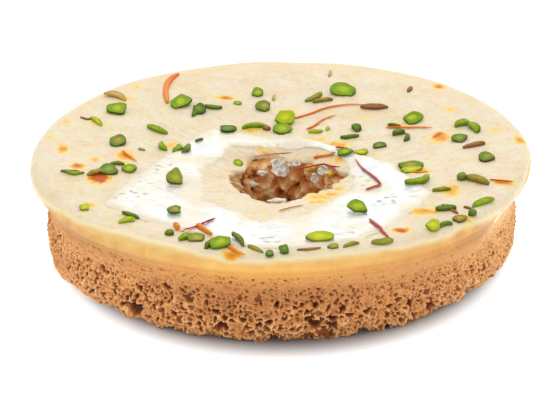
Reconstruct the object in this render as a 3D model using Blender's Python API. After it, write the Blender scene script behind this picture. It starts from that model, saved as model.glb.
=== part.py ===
"""A ghewar: a fried honeycomb disc of batter with a hole, topped with rabri and silver leaf.

Run with: blender --background --python part.py
Metres, +Z up. The origin is the centre of the underside, which rests on Z = 0; +Y is the back.
Sizes below are in millimetres and are turned to metres as each mesh is finished.
"""

import math
import random

import bmesh
import bpy
from mathutils import Matrix, Vector, noise

MM = 0.001

# The disc as a whole: a six-inch ghewar, its rabri spread a little past the dough.
CREAM_RADIUS = 80.0
RIM_RADIUS = 77.0
TOP_HEIGHT = 31.0
DISH_DEPTH = 3.0
DISH_RADIUS = 22.0
SEED = 11

# The hole, off centre towards the front, and the sag of the top round it.
HOLE_X = 1.0
HOLE_Y = -13.0
HOLE_RADIUS = 17.5
HOLE_SAG = 1.5
HOLE_SAG_RADIUS = 30.0
HOLE_SHIFT_RADIUS = 70.0
HOLE_WOBBLE = ((2, 0.7, 0.6), (3, 0.55, 2.0), (5, 0.35, 4.1))

# The two layers and the gap that keeps neighbouring solids apart.
CREAM_THICKNESS = 3.8
LAYER_GAP = 0.4
SEAT_RINGS = (20.0, 38.0, 58.0, 76.0)

# Flank of the dough from its overhanging shoulder to the underside: radius and height.
FLANK = (
    (79.4, 26.2),
    (79.8, 24.0),
    (79.2, 21.8),
    (77.4, 19.4),
    (76.0, 16.6),
    (75.4, 13.2),
    (75.2, 9.6),
    (74.8, 6.2),
    (73.8, 3.2),
    (71.6, 1.0),
    (68.0, 0.0),
)
FLANK_COLUMNS = 96
INNER_COLUMNS = 48
UNDERSIDE_RINGS = (58.0, 47.0, 41.0, 35.0, 29.5, 24.5)
HOLE_WALL = ((19.0, 0.8), (17.2, 4.0), (16.6, 9.5), (16.9, 15.0), (17.6, 20.0))

# Open cells of the fried batter: fine under the smooth band, coarse at the foot.
CELL_TOP = 20.5
CELL_SHARE_TOP = 0.35
CELL_SHARE_FOOT = 0.9
CELL_WALL = 0.65
CELL_DEPTH_TOP = 1.1
CELL_DEPTH_FOOT = 3.0
CELL_JITTER = 0.9
CELL_STAGGER = 0.6
MERGED_CELL_SHARE = 0.22
UNDERSIDE_SHARE = 0.5
UNDERSIDE_DEPTH = 1.6
FLAT_RING_INNER = 47.0

# Rabri: rings of its top, counted from the hole, and how far it swells and dips.
CREAM_RINGS = (22.0, 31.0, 41.0, 52.0, 62.0, 70.5)
CREAM_COLUMNS = 60
CREAM_EDGE = ((0.8, 30.2), (0.0, 29.2), (0.1, 27.9), (1.2, 27.0))
CREAM_SWELL = 0.35
SWELL_SPAN = 14.0

# Silver leaf: one torn sheet laid over the front half, with its middle torn away round the hole.
LEAF_GAP = 0.35
LEAF_THICKNESS = 0.4
LEAF_OUTER = (
    (-53, -40), (-45, -18), (-36, -2), (-29, 12), (-22, 22), (-14, 19), (-2, 15), (8, 15), (21, 5),
    (36, -10), (48, -34), (39, -47), (33, -59), (22, -67), (6, -71), (-12, -70), (-28, -60), (-41, -52),
)
LEAF_INNER = (
    (-24, -12), (-15, 6), (-2, 9), (13, 8), (22, -4), (24, -18), (20, -29), (12, -40), (4, -47),
    (-8, -50), (-17, -42), (-23, -33),
)

# Pistachio slices: place, length, width and turn (degrees), read off the top from above.
SLICE_THICKNESS = 1.9
SLICE_SIDES = 8
SLICES_ON_CREAM = (
    (-54, 34, 7.2, 5.6, 60), (-53, 9, 6.6, 5.6, 20), (-33, 41, 7.8, 6.8, 30), (-27, 36, 6.0, 4.4, 110),
    (-5, 39, 5.6, 4.8, 0), (2, 29, 7.4, 7.0, 20), (1, 21, 6.8, 5.6, -20), (22, 50, 9.2, 6.4, 10),
    (44, 25, 8.2, 5.4, -10), (33, 7, 6.0, 3.6, 20), (58, 7, 5.8, 4.2, 15), (65, -10, 5.6, 5.0, 5),
    (44, -60, 6.0, 4.0, 15), (53, -54, 5.6, 3.4, 30), (59, -26, 9.2, 4.2, -15), (-64, -15, 4.4, 3.0, 0),
    (-58, -44, 4.2, 3.2, 100), (-54, -13, 6.6, 5.0, 10), (-17, -71, 6.6, 4.6, 20), (29, -70, 5.6, 2.8, 10),
)
SLICES_ON_LEAF = (
    (-33, -22, 5.8, 5.4, 80), (-31, -46, 4.4, 4.0, 60), (41, -13, 8.0, 5.6, -25), (25, -46, 6.6, 5.2, -20),
    (11, -63, 8.6, 4.6, 0), (-24, -64, 5.8, 4.4, -30), (-19, 13, 5.8, 4.0, -10),
)
SLIVER_SIDES = 6
SLIVERS_ON_CREAM = (
    (-59, 46, 9.0, 2.6, 40), (-40, 21, 7.4, 2.6, -40), (-23, 41, 5.4, 2.4, 10), (-9, 25, 9.6, 2.6, 8),
    (12, 47, 7.4, 2.8, 20), (32, 37, 9.2, 2.8, -5), (62, 1, 7.2, 2.4, 15), (60, -45, 6.2, 2.6, 18),
    (50, -46, 6.0, 2.8, 8), (-8, 50, 5.0, 2.8, 60), (-62, 25, 5.2, 3.0, 10), (-3, -75, 4.2, 2.4, 40),
)
SLIVERS_ON_LEAF = ((41, -25, 7.2, 2.8, -8), (-13, -58, 7.0, 2.6, 5), (-40, -42, 7.2, 2.6, -35))
# Curled slices: place, chord, width, turn and how far the middle is bent aside.
CURLS_ON_CREAM = (
    (-37, 6, 6.0, 2.6, 70, 1.6), (41, 13, 6.0, 2.4, 80, 1.5), (24, 20, 8.0, 2.4, 60, 2.0),
    (61, 16, 8.0, 3.0, -20, 2.2), (49, -59, 4.6, 2.0, 20, 1.0),
)
# Saffron threads: place, length, width, turn and bend.
THREADS_ON_CREAM = (
    (-37, 52, 24.0, 0.9, 95, 2.5), (14, 35, 17.0, 0.8, 25, 1.5), (43, 19, 12.0, 0.9, -15, 1.0),
)
THREADS_ON_LEAF = ((28, -24, 17.0, 0.8, -72, 2.0), (-24, -56, 10.0, 0.8, 40, 1.2))
THREAD_THICKNESS = 0.9
BEND_STEPS = 4
SINK = 0.45


def smoothstep(low, high, value):
    t = min(1.0, max(0.0, (value - low) / (high - low)))
    return t * t * (3.0 - 2.0 * t)


def lerp(a, b, t):
    return a + (b - a) * t


def smooth_top(x, y):
    """Height of the rabri's top without its swells: a shallow dish that sags round the hole."""
    from_centre = math.hypot(x, y)
    from_hole = math.hypot(x - HOLE_X, y - HOLE_Y)
    dish = DISH_DEPTH * (1.0 - smoothstep(DISH_RADIUS, RIM_RADIUS, from_centre))
    sag = HOLE_SAG * (1.0 - smoothstep(HOLE_RADIUS, HOLE_SAG_RADIUS, from_hole))
    return TOP_HEIGHT - dish - sag


def swell(x, y):
    """Soft waves of the spread rabri, fading out at its rim."""
    wave = noise.noise(Vector((x / SWELL_SPAN, y / SWELL_SPAN, SEED)))
    return CREAM_SWELL * wave * (1.0 - smoothstep(66.0, RIM_RADIUS, math.hypot(x, y)))


def hole_edge(angle, radius):
    """Radius of a ring close to the hole, uneven as the real one is."""
    wobble = sum(size * math.sin(turns * angle + phase) for turns, size, phase in HOLE_WOBBLE)
    near_hole = 1.0 - smoothstep(HOLE_RADIUS, HOLE_SAG_RADIUS, radius)
    return radius + wobble * near_hole


def shift_to_hole(bm):
    """Rings near the hole are centred on it, and the outermost ones on the disc."""
    for vert in bm.verts:
        angle = math.atan2(vert.co.y, vert.co.x)
        radius = math.hypot(vert.co.x, vert.co.y)
        follows_hole = 1.0 - smoothstep(HOLE_RADIUS, HOLE_SHIFT_RADIUS, radius)
        radius = hole_edge(angle, radius)
        vert.co.x = radius * math.cos(angle) + HOLE_X * follows_hole
        vert.co.y = radius * math.sin(angle) + HOLE_Y * follows_hole


def spin_profile(bm, points, columns, closed=False):
    """Turn a profile of (radius, height) points fully about Z."""
    verts = [bm.verts.new((radius, 0.0, height)) for radius, height in points]
    pairs = list(zip(verts, verts[1:]))
    if closed:
        pairs.append((verts[-1], verts[0]))
    edges = [bm.edges.new(pair) for pair in pairs]
    bmesh.ops.spin(
        bm, geom=verts + edges, cent=(0, 0, 0), axis=(0, 0, 1),
        angle=2.0 * math.pi, steps=columns, use_merge=True,
    )
    bmesh.ops.recalc_face_normals(bm, faces=bm.faces)


def boundary_at(bm, radius, height):
    """Open edges of the ring at one radius and height."""
    def on_ring(vert):
        same_radius = abs(math.hypot(vert.co.x, vert.co.y) - radius) < 0.01
        return same_radius and abs(vert.co.z - height) < 0.01
    return [e for e in bm.edges if e.is_boundary and all(on_ring(v) for v in e.verts)]


def finish(name, bm, colour, roughness, collection, metallic=0.0):
    """Turn a bmesh in millimetres into an object in metres with its own material."""
    bmesh.ops.scale(bm, vec=(MM, MM, MM), verts=bm.verts)
    mesh = bpy.data.meshes.new(name)
    bm.to_mesh(mesh)
    bm.free()
    material = bpy.data.materials.new(name)
    material.use_nodes = True
    shader = material.node_tree.nodes["Principled BSDF"]
    shader.inputs["Base Color"].default_value = (*colour, 1.0)
    shader.inputs["Roughness"].default_value = roughness
    shader.inputs["Metallic"].default_value = metallic
    mesh.materials.append(material)
    obj = bpy.data.objects.new(name, mesh)
    collection.objects.link(obj)
    return obj


def combine(obj, other, operation):
    """Apply one Boolean with an object or a whole collection, whose objects are then removed."""
    modifier = obj.modifiers.new("fuse", "BOOLEAN")
    modifier.operation = operation
    modifier.solver = "EXACT"
    if isinstance(other, bpy.types.Collection):
        modifier.operand_type = "COLLECTION"
        modifier.collection = other
        used = list(other.objects)
    else:
        modifier.object = other
        used = [other]
    evaluated = obj.evaluated_get(bpy.context.evaluated_depsgraph_get())
    mesh = bpy.data.meshes.new_from_object(evaluated)
    obj.modifiers.clear()
    obj.data = mesh
    for item in used:
        bpy.data.objects.remove(item)


def keep_largest_piece(obj):
    """Drop loose scraps, so that the object is one closed body."""
    bm = bmesh.new()
    bm.from_mesh(obj.data)
    pieces = []
    unseen = set(bm.verts)
    while unseen:
        piece = set()
        front = [unseen.pop()]
        while front:
            vert = front.pop()
            piece.add(vert)
            linked = {e.other_vert(vert) for e in vert.link_edges} & unseen
            unseen -= linked
            front.extend(linked)
        pieces.append(piece)
    pieces.sort(key=len, reverse=True)
    scraps = [vert for piece in pieces[1:] for vert in piece]
    bmesh.ops.delete(bm, geom=scraps, context="VERTS")
    bm.to_mesh(obj.data)
    bm.free()


# ---------------------------------------------------------------- fried honeycomb dough


def shape_flank(bm):
    """Give the flank below its smooth shoulder jittered, staggered cells."""
    heights = [round(height, 2) for _, height in FLANK]
    jitter = random.Random(SEED)
    half_column = math.pi / FLANK_COLUMNS
    for vert in bm.verts:
        key = round(vert.co.z, 2)
        radius = math.hypot(vert.co.x, vert.co.y)
        if key not in heights[1:-1] or key > CELL_TOP or radius < FLANK[-1][0]:
            continue
        angle = math.atan2(vert.co.y, vert.co.x)
        angle += half_column * CELL_STAGGER * (heights.index(key) % 2)
        angle += jitter.uniform(-CELL_JITTER, CELL_JITTER) / radius
        radius += jitter.uniform(-CELL_JITTER, CELL_JITTER) * 0.5
        vert.co.x = radius * math.cos(angle)
        vert.co.y = radius * math.sin(angle)
        vert.co.z += jitter.uniform(-CELL_JITTER, CELL_JITTER) * min(1.0, vert.co.z / 3.0)


def cell_share(height):
    """How many of the faces at a height are open cells."""
    return lerp(CELL_SHARE_FOOT, CELL_SHARE_TOP, smoothstep(4.0, CELL_TOP, height))


def roughen_underside(bm):
    """Shift the inner rings of the underside, so that its cells are uneven."""
    jitter = random.Random(SEED + 3)
    for vert in bm.verts:
        radius = math.hypot(vert.co.x, vert.co.y)
        if abs(vert.co.z) < 0.01 and UNDERSIDE_RINGS[-1] < radius < FLAT_RING_INNER - 0.5:
            vert.co.x += jitter.uniform(-CELL_JITTER, CELL_JITTER)
            vert.co.y += jitter.uniform(-CELL_JITTER, CELL_JITTER)


def merge_some(bm, cells, pick):
    """Run some neighbouring cells together into larger ones."""
    chosen = set(cells)
    pairs = []
    used = set()
    for edge in bm.edges:
        faces = list(edge.link_faces)
        free = len(faces) == 2 and all(f in chosen and f not in used for f in faces)
        if free and pick.random() < MERGED_CELL_SHARE:
            pairs.append(faces)
            used.update(faces)
    single = [face for face in cells if face not in used]
    return single + [bmesh.utils.face_join(faces) for faces in pairs]


def open_cells(bm):
    """Sink the chosen faces of the flank and the underside into open cells."""
    pick = random.Random(SEED + 1)
    flank, under = [], []
    for face in list(bm.faces):
        centre = face.calc_center_median()
        radius = math.hypot(centre.x, centre.y)
        if radius > FLANK[-1][0] and centre.z < CELL_TOP - 1.5:
            if pick.random() < cell_share(centre.z):
                flank.append(face)
        elif centre.z < 0.01 and radius < FLAT_RING_INNER and pick.random() < UNDERSIDE_SHARE:
            under.append(face)
    for face in merge_some(bm, flank, pick):
        height = face.calc_center_median().z
        depth = lerp(CELL_DEPTH_FOOT, CELL_DEPTH_TOP, smoothstep(3.0, CELL_TOP, height))
        depth *= pick.uniform(0.7, 1.15)
        wall = CELL_WALL * pick.uniform(0.8, 1.25)
        bmesh.ops.inset_individual(bm, faces=[face], thickness=wall, depth=-depth, use_even_offset=True)
    for face in merge_some(bm, under, pick):
        wall = CELL_WALL * pick.uniform(0.9, 1.4)
        depth = UNDERSIDE_DEPTH * pick.uniform(0.7, 1.3)
        bmesh.ops.inset_individual(bm, faces=[face], thickness=wall, depth=-depth, use_even_offset=True)


def fried_base(collection):
    """The dough: a dished disc with a hole through it and open cells all round its foot."""
    seat = [(radius, TOP_HEIGHT) for radius in reversed(SEAT_RINGS)]
    bm = bmesh.new()
    spin_profile(bm, [seat[0]] + list(FLANK), FLANK_COLUMNS)
    shape_flank(bm)
    inner = seat[1:] + [(r, z) for r, z in reversed(HOLE_WALL)]
    inner += [(radius, 0.0) for radius in reversed(UNDERSIDE_RINGS)]
    spin_profile(bm, inner, INNER_COLUMNS)
    joints = ((SEAT_RINGS[-1], SEAT_RINGS[-2], TOP_HEIGHT), (FLANK[-1][0], UNDERSIDE_RINGS[0], 0.0))
    for outer_ring, inner_ring, height in joints:
        loops = boundary_at(bm, outer_ring, height) + boundary_at(bm, inner_ring, height)
        bmesh.ops.bridge_loops(bm, edges=loops)
    if bm.calc_volume(signed=True) < 0.0:
        bmesh.ops.reverse_faces(bm, faces=bm.faces)
    roughen_underside(bm)
    open_cells(bm)
    shift_to_hole(bm)
    for vert in bm.verts:
        if vert.co.z > TOP_HEIGHT - 0.01:
            seat_height = smooth_top(vert.co.x, vert.co.y) - CREAM_THICKNESS
            vert.co.z = seat_height - LAYER_GAP
    return finish("fried_base", bm, (0.56, 0.27, 0.08), 0.6, collection)


# ---------------------------------------------------------------- rabri and its toppings


def rabri(collection):
    """The thickened milk: a soft-edged layer that follows the dough and hangs over its shoulder."""
    edge = [(CREAM_RADIUS - inset, height) for inset, height in CREAM_EDGE]
    top = [(radius, TOP_HEIGHT + 1.0) for radius in CREAM_RINGS] + [(RIM_RADIUS, TOP_HEIGHT + 1.0)]
    lip = ((HOLE_RADIUS + 1.3, TOP_HEIGHT + 2.0), (HOLE_RADIUS + 0.4, TOP_HEIGHT + 3.0))
    under = [(radius, TOP_HEIGHT) for radius in reversed(SEAT_RINGS)]
    bm = bmesh.new()
    spin_profile(bm, [lip[1], lip[0]] + top + edge + under, CREAM_COLUMNS, closed=True)
    shift_to_hole(bm)
    for vert in bm.verts:
        height = smooth_top(vert.co.x, vert.co.y)
        level = vert.co.z - TOP_HEIGHT
        if level > 2.5:
            vert.co.z = height - 2.0
        elif level > 1.5:
            vert.co.z = height - 0.7
        elif level > 0.5:
            vert.co.z = height + swell(vert.co.x, vert.co.y)
        elif level > -0.01:
            vert.co.z = height - CREAM_THICKNESS
    return finish("rabri_layer", bm, (0.93, 0.86, 0.66), 0.45, collection)


def surface_height(x, y, lift):
    """Height that a topping is laid at."""
    return smooth_top(x, y) + swell(x, y) + lift


def lay(bm, x, y, turn, lift, tilt):
    """Move a topping from the origin to its place on top, following the slope there."""
    step = 1.5
    slope_x = (surface_height(x + step, y, 0) - surface_height(x - step, y, 0)) / (2 * step)
    slope_y = (surface_height(x, y + step, 0) - surface_height(x, y - step, 0)) / (2 * step)
    normal = Vector((-slope_x, -slope_y, 1.0)).normalized()
    lean = Vector((0, 0, 1)).rotation_difference(normal).to_matrix()
    rotation = lean @ Matrix.Rotation(math.radians(turn), 3, "Z") @ Matrix.Rotation(tilt, 3, "X")
    bmesh.ops.rotate(bm, verts=bm.verts, matrix=rotation)
    bmesh.ops.translate(bm, verts=bm.verts, vec=(x, y, surface_height(x, y, lift)))


def slice_mesh(length, width, sides, thickness):
    """A thin elliptical slice lying flat, sunk a little below its own origin."""
    bm = bmesh.new()
    ring = bmesh.ops.create_circle(bm, cap_ends=True, segments=sides, radius=0.5)["verts"]
    bmesh.ops.scale(bm, vec=(length, width, 1.0), verts=ring)
    grown = bmesh.ops.extrude_face_region(bm, geom=list(bm.faces))["geom"]
    top = [item for item in grown if isinstance(item, bmesh.types.BMVert)]
    bmesh.ops.translate(bm, verts=top, vec=(0, 0, thickness))
    bmesh.ops.translate(bm, verts=bm.verts, vec=(0, 0, -SINK))
    bmesh.ops.recalc_face_normals(bm, faces=bm.faces)
    return bm


def curl_mesh(length, width, thickness, bend):
    """A strip of square section, bent sideways into a bow and pointed at its ends."""
    bm = bmesh.new()
    bmesh.ops.create_cube(bm, size=1.0)
    along = [e for e in bm.edges if abs(e.verts[0].co.x - e.verts[1].co.x) > 0.5]
    bmesh.ops.subdivide_edges(bm, edges=along, cuts=BEND_STEPS - 1, use_grid_fill=True)
    for vert in bm.verts:
        run = 2.0 * vert.co.x
        taper = 1.0 - 0.6 * run * run
        vert.co.x *= length
        vert.co.y = vert.co.y * width * taper + bend * (1.0 - run * run)
        vert.co.z = (vert.co.z + 0.5) * thickness - SINK
    return bm


def add_topping(bm, x, y, turn, lift, tilt, collection):
    lay(bm, x, y, turn, lift, tilt)
    finish("topping", bm, (0.3, 0.45, 0.08), 0.5, collection)


def add_toppings(collection, lift, slices, slivers, curls, threads):
    """Lay slices, slivers, curls and threads into one collection."""
    lean = random.Random(SEED + 2)
    for x, y, length, width, turn in slices:
        bm = slice_mesh(length, width, SLICE_SIDES, SLICE_THICKNESS)
        add_topping(bm, x, y, turn, lift, lean.uniform(-0.08, 0.08), collection)
    for x, y, length, width, turn in slivers:
        bm = slice_mesh(length, width, SLIVER_SIDES, SLICE_THICKNESS)
        add_topping(bm, x, y, turn, lift, lean.uniform(-0.1, 0.1), collection)
    for x, y, length, width, turn, bend in curls:
        bm = curl_mesh(length, width, SLICE_THICKNESS, bend)
        add_topping(bm, x, y, turn, lift, lean.uniform(-0.08, 0.08), collection)
    for x, y, length, width, turn, bend in threads:
        bm = curl_mesh(length, width, THREAD_THICKNESS, bend)
        add_topping(bm, x, y, turn, lift, 0.0, collection)


# ---------------------------------------------------------------- silver leaf


def leaf_slab():
    """A thin slab that follows the rabri's top at a small gap, over the whole disc."""
    bm = bmesh.new()
    sheet = [(radius, TOP_HEIGHT) for radius in CREAM_RINGS] + [(RIM_RADIUS, TOP_HEIGHT)]
    spin_profile(bm, sheet, CREAM_COLUMNS)
    shift_to_hole(bm)
    for vert in bm.verts:
        vert.co.z = surface_height(vert.co.x, vert.co.y, LEAF_GAP)
    if sum(face.normal.z for face in bm.faces) < 0:
        bmesh.ops.reverse_faces(bm, faces=bm.faces)
    grown = bmesh.ops.extrude_face_region(bm, geom=list(bm.faces))["geom"]
    top = [item for item in grown if isinstance(item, bmesh.types.BMVert)]
    bmesh.ops.translate(bm, verts=top, vec=(0, 0, LEAF_THICKNESS))
    bmesh.ops.recalc_face_normals(bm, faces=bm.faces)
    return bm


def leaf_outline(collection):
    """The torn outline of the sheet, as a tall prism with a tall opening."""
    curve = bpy.data.curves.new("leaf_outline", "CURVE")
    curve.dimensions = "2D"
    curve.fill_mode = "BOTH"
    curve.extrude = 0.5 * TOP_HEIGHT * MM
    for points in (LEAF_OUTER, LEAF_INNER):
        spline = curve.splines.new("POLY")
        spline.points.add(len(points) - 1)
        for point, (x, y) in zip(spline.points, points):
            point.co = (x * MM, y * MM, 0.0, 1.0)
        spline.use_cyclic_u = True
    guide = bpy.data.objects.new("leaf_outline_curve", curve)
    guide.location.z = TOP_HEIGHT * MM
    collection.objects.link(guide)
    depsgraph = bpy.context.evaluated_depsgraph_get()
    mesh = bpy.data.meshes.new_from_object(guide.evaluated_get(depsgraph))
    bm = bmesh.new()
    bm.from_mesh(mesh)
    bmesh.ops.remove_doubles(bm, verts=bm.verts, dist=0.00001)
    bmesh.ops.recalc_face_normals(bm, faces=bm.faces)
    bm.to_mesh(mesh)
    bm.free()
    prism = bpy.data.objects.new("leaf_outline", mesh)
    prism.matrix_world = guide.matrix_world.copy()
    prism.location.z = TOP_HEIGHT * MM
    collection.objects.link(prism)
    bpy.data.objects.remove(guide)
    return prism


def silver_leaf(collection, cutters):
    """The leaf: the slab where it lies inside the torn outline."""
    leaf = finish("silver_leaf", leaf_slab(), (0.9, 0.9, 0.92), 0.25, collection, metallic=1.0)
    combine(leaf, leaf_outline(cutters), "INTERSECT")
    return leaf


# ---------------------------------------------------------------- assembly


def new_collection(name):
    collection = bpy.data.collections.new(name)
    bpy.context.scene.collection.children.link(collection)
    return collection


def main():
    for obj in list(bpy.data.objects):
        bpy.data.objects.remove(obj)
    ghewar = new_collection("ghewar")
    cutters = new_collection("cutters")
    on_cream = new_collection("toppings_on_cream")
    on_leaf = new_collection("toppings_on_leaf")
    fried_base(ghewar)
    cream = rabri(ghewar)
    add_toppings(on_cream, 0.0, SLICES_ON_CREAM, SLIVERS_ON_CREAM, CURLS_ON_CREAM, THREADS_ON_CREAM)
    combine(cream, on_cream, "UNION")
    keep_largest_piece(cream)
    leaf = silver_leaf(ghewar, cutters)
    leaf_top = LEAF_GAP + LEAF_THICKNESS
    add_toppings(on_leaf, leaf_top, SLICES_ON_LEAF, SLIVERS_ON_LEAF, (), THREADS_ON_LEAF)
    combine(leaf, on_leaf, "UNION")
    keep_largest_piece(leaf)


main()
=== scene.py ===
import math
import random

import bmesh
import bpy
import numpy as np
from mathutils import Matrix, Vector, noise


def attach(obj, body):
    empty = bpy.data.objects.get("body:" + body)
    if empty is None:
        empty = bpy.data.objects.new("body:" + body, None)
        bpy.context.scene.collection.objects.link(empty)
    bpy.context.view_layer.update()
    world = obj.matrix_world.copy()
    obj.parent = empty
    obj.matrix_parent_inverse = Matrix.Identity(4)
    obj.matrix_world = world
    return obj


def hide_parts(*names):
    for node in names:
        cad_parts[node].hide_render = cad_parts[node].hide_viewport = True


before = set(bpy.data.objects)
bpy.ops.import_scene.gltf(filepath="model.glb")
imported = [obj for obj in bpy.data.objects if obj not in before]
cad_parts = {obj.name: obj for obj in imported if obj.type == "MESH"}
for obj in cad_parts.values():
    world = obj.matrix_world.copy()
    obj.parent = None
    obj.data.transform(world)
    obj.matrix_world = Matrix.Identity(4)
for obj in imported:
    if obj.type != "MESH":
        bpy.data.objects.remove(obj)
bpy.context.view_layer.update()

# Lengths below are in millimetres, and each mesh is turned to metres as it is finished.
MM = 0.001

# ---------------------------------------------------------------- camera
# The sweet from its front, 23 degrees above the table, through a long lens. The line of sight meets
# the middle of the top rim, and the lens axis passes a little below it.
RIM_HEIGHT = 31.0
VIEW_DISTANCE = 600.0
VIEW_ELEVATION = math.radians(23.1)
AXIS_LOWERED = math.radians(1.93)
CAMERA_ROLL = math.radians(-0.64)
SENSOR_WIDTH = 36.0
PICTURE_WIDTH = 560
FOCAL_LENGTH_IN_PIXELS = 1883


def new_object(name, data):
    made = bpy.data.objects.new(name, data)
    bpy.context.scene.collection.objects.link(made)
    return made


camera = new_object("camera", bpy.data.cameras.new("camera"))
camera.data.sensor_width = SENSOR_WIDTH
camera.data.lens = SENSOR_WIDTH * FOCAL_LENGTH_IN_PIXELS / PICTURE_WIDTH
away = Vector((0.0, -math.cos(VIEW_ELEVATION), math.sin(VIEW_ELEVATION))) * VIEW_DISTANCE
camera.matrix_world = (
    Matrix.Translation((Vector((0.0, 0.0, RIM_HEIGHT)) + away) * MM)
    @ Matrix.Rotation(math.pi / 2.0 - VIEW_ELEVATION - AXIS_LOWERED, 4, "X")
    @ Matrix.Rotation(CAMERA_ROLL, 4, "Z")
)
bpy.context.scene.camera = camera

# ---------------------------------------------------------------- studio
# A bright white table that glows as if lit through from below, but not in a stretched disc round the sweet,
# which so paints its shadow. Light from all round, one wide lamp high above and behind the sweet, and a
# soft box low behind it that shines in the silver. The painted shadow is dark at the foot and ends close to
# it.
TABLE_HALF_WIDTH = 3000.0
TABLE_WHITE = (0.42, 0.43, 0.44, 1.0)
TABLE_GLOW = 1.05
# The glow, which paints the shadow's edge, sets in and is full at these distances from its middle, once
# stretched.
GLOW_FROM = 66.0
GLOW_FULL = 81.5
PAINTED_SHADOW_MIDDLE = (1.0, -5.5, 0.0)
PAINTED_SHADOW_STRETCH = (1.06, 1.0, 1.0)
SKY_STRENGTH = 0.76
LAMP_STRENGTH = 0.62
LAMP_SOFTNESS = math.radians(55)
LAMP_HEIGHT_ANGLE = math.radians(66)
LAMP_TURN = math.radians(-96)
BOX_PLACE = (100.0, 1100.0, 560.0)
BOX_WIDTH = 1500.0
BOX_HEIGHT = 800.0
BOX_POWER = 4.6


def new_material(name, **settings):
    """A material with its Principled shader set; inputs are named with _ for each space."""
    made = bpy.data.materials.new(name)
    made.use_nodes = True
    shader = made.node_tree.nodes["Principled BSDF"]
    for key, value in settings.items():
        shader.inputs[key.replace("_", " ")].default_value = value
    return made, made.node_tree, shader


def add(tree, kind, inputs=None, **settings):
    """A shader node; each of its inputs is given a value or another node's output."""
    made = tree.nodes.new("ShaderNode" + kind)
    for key, value in settings.items():
        setattr(made, key, value)
    for key, value in (inputs or {}).items():
        if isinstance(value, bpy.types.NodeSocket):
            tree.links.new(value, made.inputs[key])
        else:
            made.inputs[key].default_value = value
    return made


def math_node(tree, operation, *values):
    return add(tree, "Math", dict(enumerate(values)), operation=operation).outputs[0]


bm = bmesh.new()
bmesh.ops.create_grid(bm, x_segments=1, y_segments=1, size=TABLE_HALF_WIDTH * MM)
table_mesh = bpy.data.meshes.new("table")
bm.to_mesh(table_mesh)
bm.free()
table_material, table_tree, table_shader = new_material(
    "white_table", Roughness=0.7, Base_Color=TABLE_WHITE, Emission_Strength=TABLE_GLOW,
)
place = add(table_tree, "TexCoord").outputs["Object"]
stretched = add(table_tree, "VectorMath", {0: place, 1: PAINTED_SHADOW_STRETCH}, operation="MULTIPLY")
middle = Vector(PAINTED_SHADOW_MIDDLE) * MM
away = add(table_tree, "VectorMath", {0: stretched.outputs["Vector"], 1: middle}, operation="DISTANCE")
# Glow only away from the sweet: the unlit disc round its foot is a painted shadow.
glow_round_painted_shadow = add(
    table_tree, "MapRange",
    {"Value": away.outputs["Value"], "From Min": GLOW_FROM * MM, "From Max": GLOW_FULL * MM},
    interpolation_type="SMOOTHSTEP",
)
table_tree.links.new(glow_round_painted_shadow.outputs["Result"], table_shader.inputs["Emission Color"])
table_mesh.materials.append(table_material)
new_object("table", table_mesh)

sky = bpy.data.worlds.new("studio")
sky.use_nodes = True
sky.node_tree.nodes["Background"].inputs["Color"].default_value = (1.0, 1.0, 1.0, 1.0)
sky.node_tree.nodes["Background"].inputs["Strength"].default_value = SKY_STRENGTH
bpy.context.scene.world = sky

lamp = new_object("lamp", bpy.data.lights.new("lamp", "SUN"))
lamp.data.energy = LAMP_STRENGTH
lamp.data.angle = LAMP_SOFTNESS
lamp.matrix_world = (
    Matrix.Rotation(LAMP_TURN, 4, "Z")
    @ Matrix.Rotation(-(math.pi / 2.0 - LAMP_HEIGHT_ANGLE), 4, "Y")
)
box = new_object("soft_box", bpy.data.lights.new("soft_box", "AREA"))
box.data.shape = "RECTANGLE"
box.data.size = BOX_WIDTH * MM
box.data.size_y = BOX_HEIGHT * MM
box.data.energy = BOX_POWER
towards_sweet = Vector(BOX_PLACE).to_track_quat("Z", "Y").to_matrix().to_4x4()
box.matrix_world = Matrix.Translation(Vector(BOX_PLACE) * MM) @ towards_sweet
bpy.context.scene.view_settings.view_transform = "Standard"

# ---------------------------------------------------------------- dough flank
# The side of the fried dough. Batter poured in rings into hot fat sets as a lace of bubbles: closed
# and golden at the overhanging shoulder, fine below it, and open, coarse and ragged at the foot.
# It is made in four quarters, so that even its finest bubbles are real holes.
TAU = 2.0 * math.pi
SEED = 11
FLANK = (
    (79.4, 26.2), (79.8, 24.0), (79.2, 21.8), (77.4, 19.4), (76.0, 16.6), (75.5, 13.2),
    (75.4, 9.6), (75.3, 6.2), (74.6, 3.2), (72.4, 1.0), (68.0, 0.0),
)
FLANK_INSIDE = ((67.6, 0.4), (67.0, 4.0), (67.0, 24.6), (74.0, 25.4))
QUARTERS = 4
CUT_EDGE = math.radians(38)
SEAM_GAP = 1e-4
FLANK_COLUMNS = 2400
FLANK_ROWS = 158
MEAN_RADIUS = 76.0
TURN = TAU * MEAN_RADIUS
# The lace: cells of several sizes one over the other. For each, its size, wall and depth, and the
# share of its cells that are open at each height.
LACE_HEIGHTS = (0.0, 4.0, 8.0, 12.0, 16.0, 20.0, 23.0, 26.0)
LACE = (
    (4.8, 0.40, 1.9, (0.28, 0.24, 0.05, 0, 0, 0, 0, 0)),
    (2.5, 0.26, 1.5, (0.48, 0.46, 0.38, 0.20, 0.05, 0, 0, 0)),
    (1.5, 0.18, 1, (0.55, 0.60, 0.66, 0.66, 0.44, 0.12, 0.01, 0)),
    (0.95, 0.13, 0.6, (0.40, 0.40, 0.46, 0.56, 0.62, 0.54, 0.34, 0.08)),
)
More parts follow.
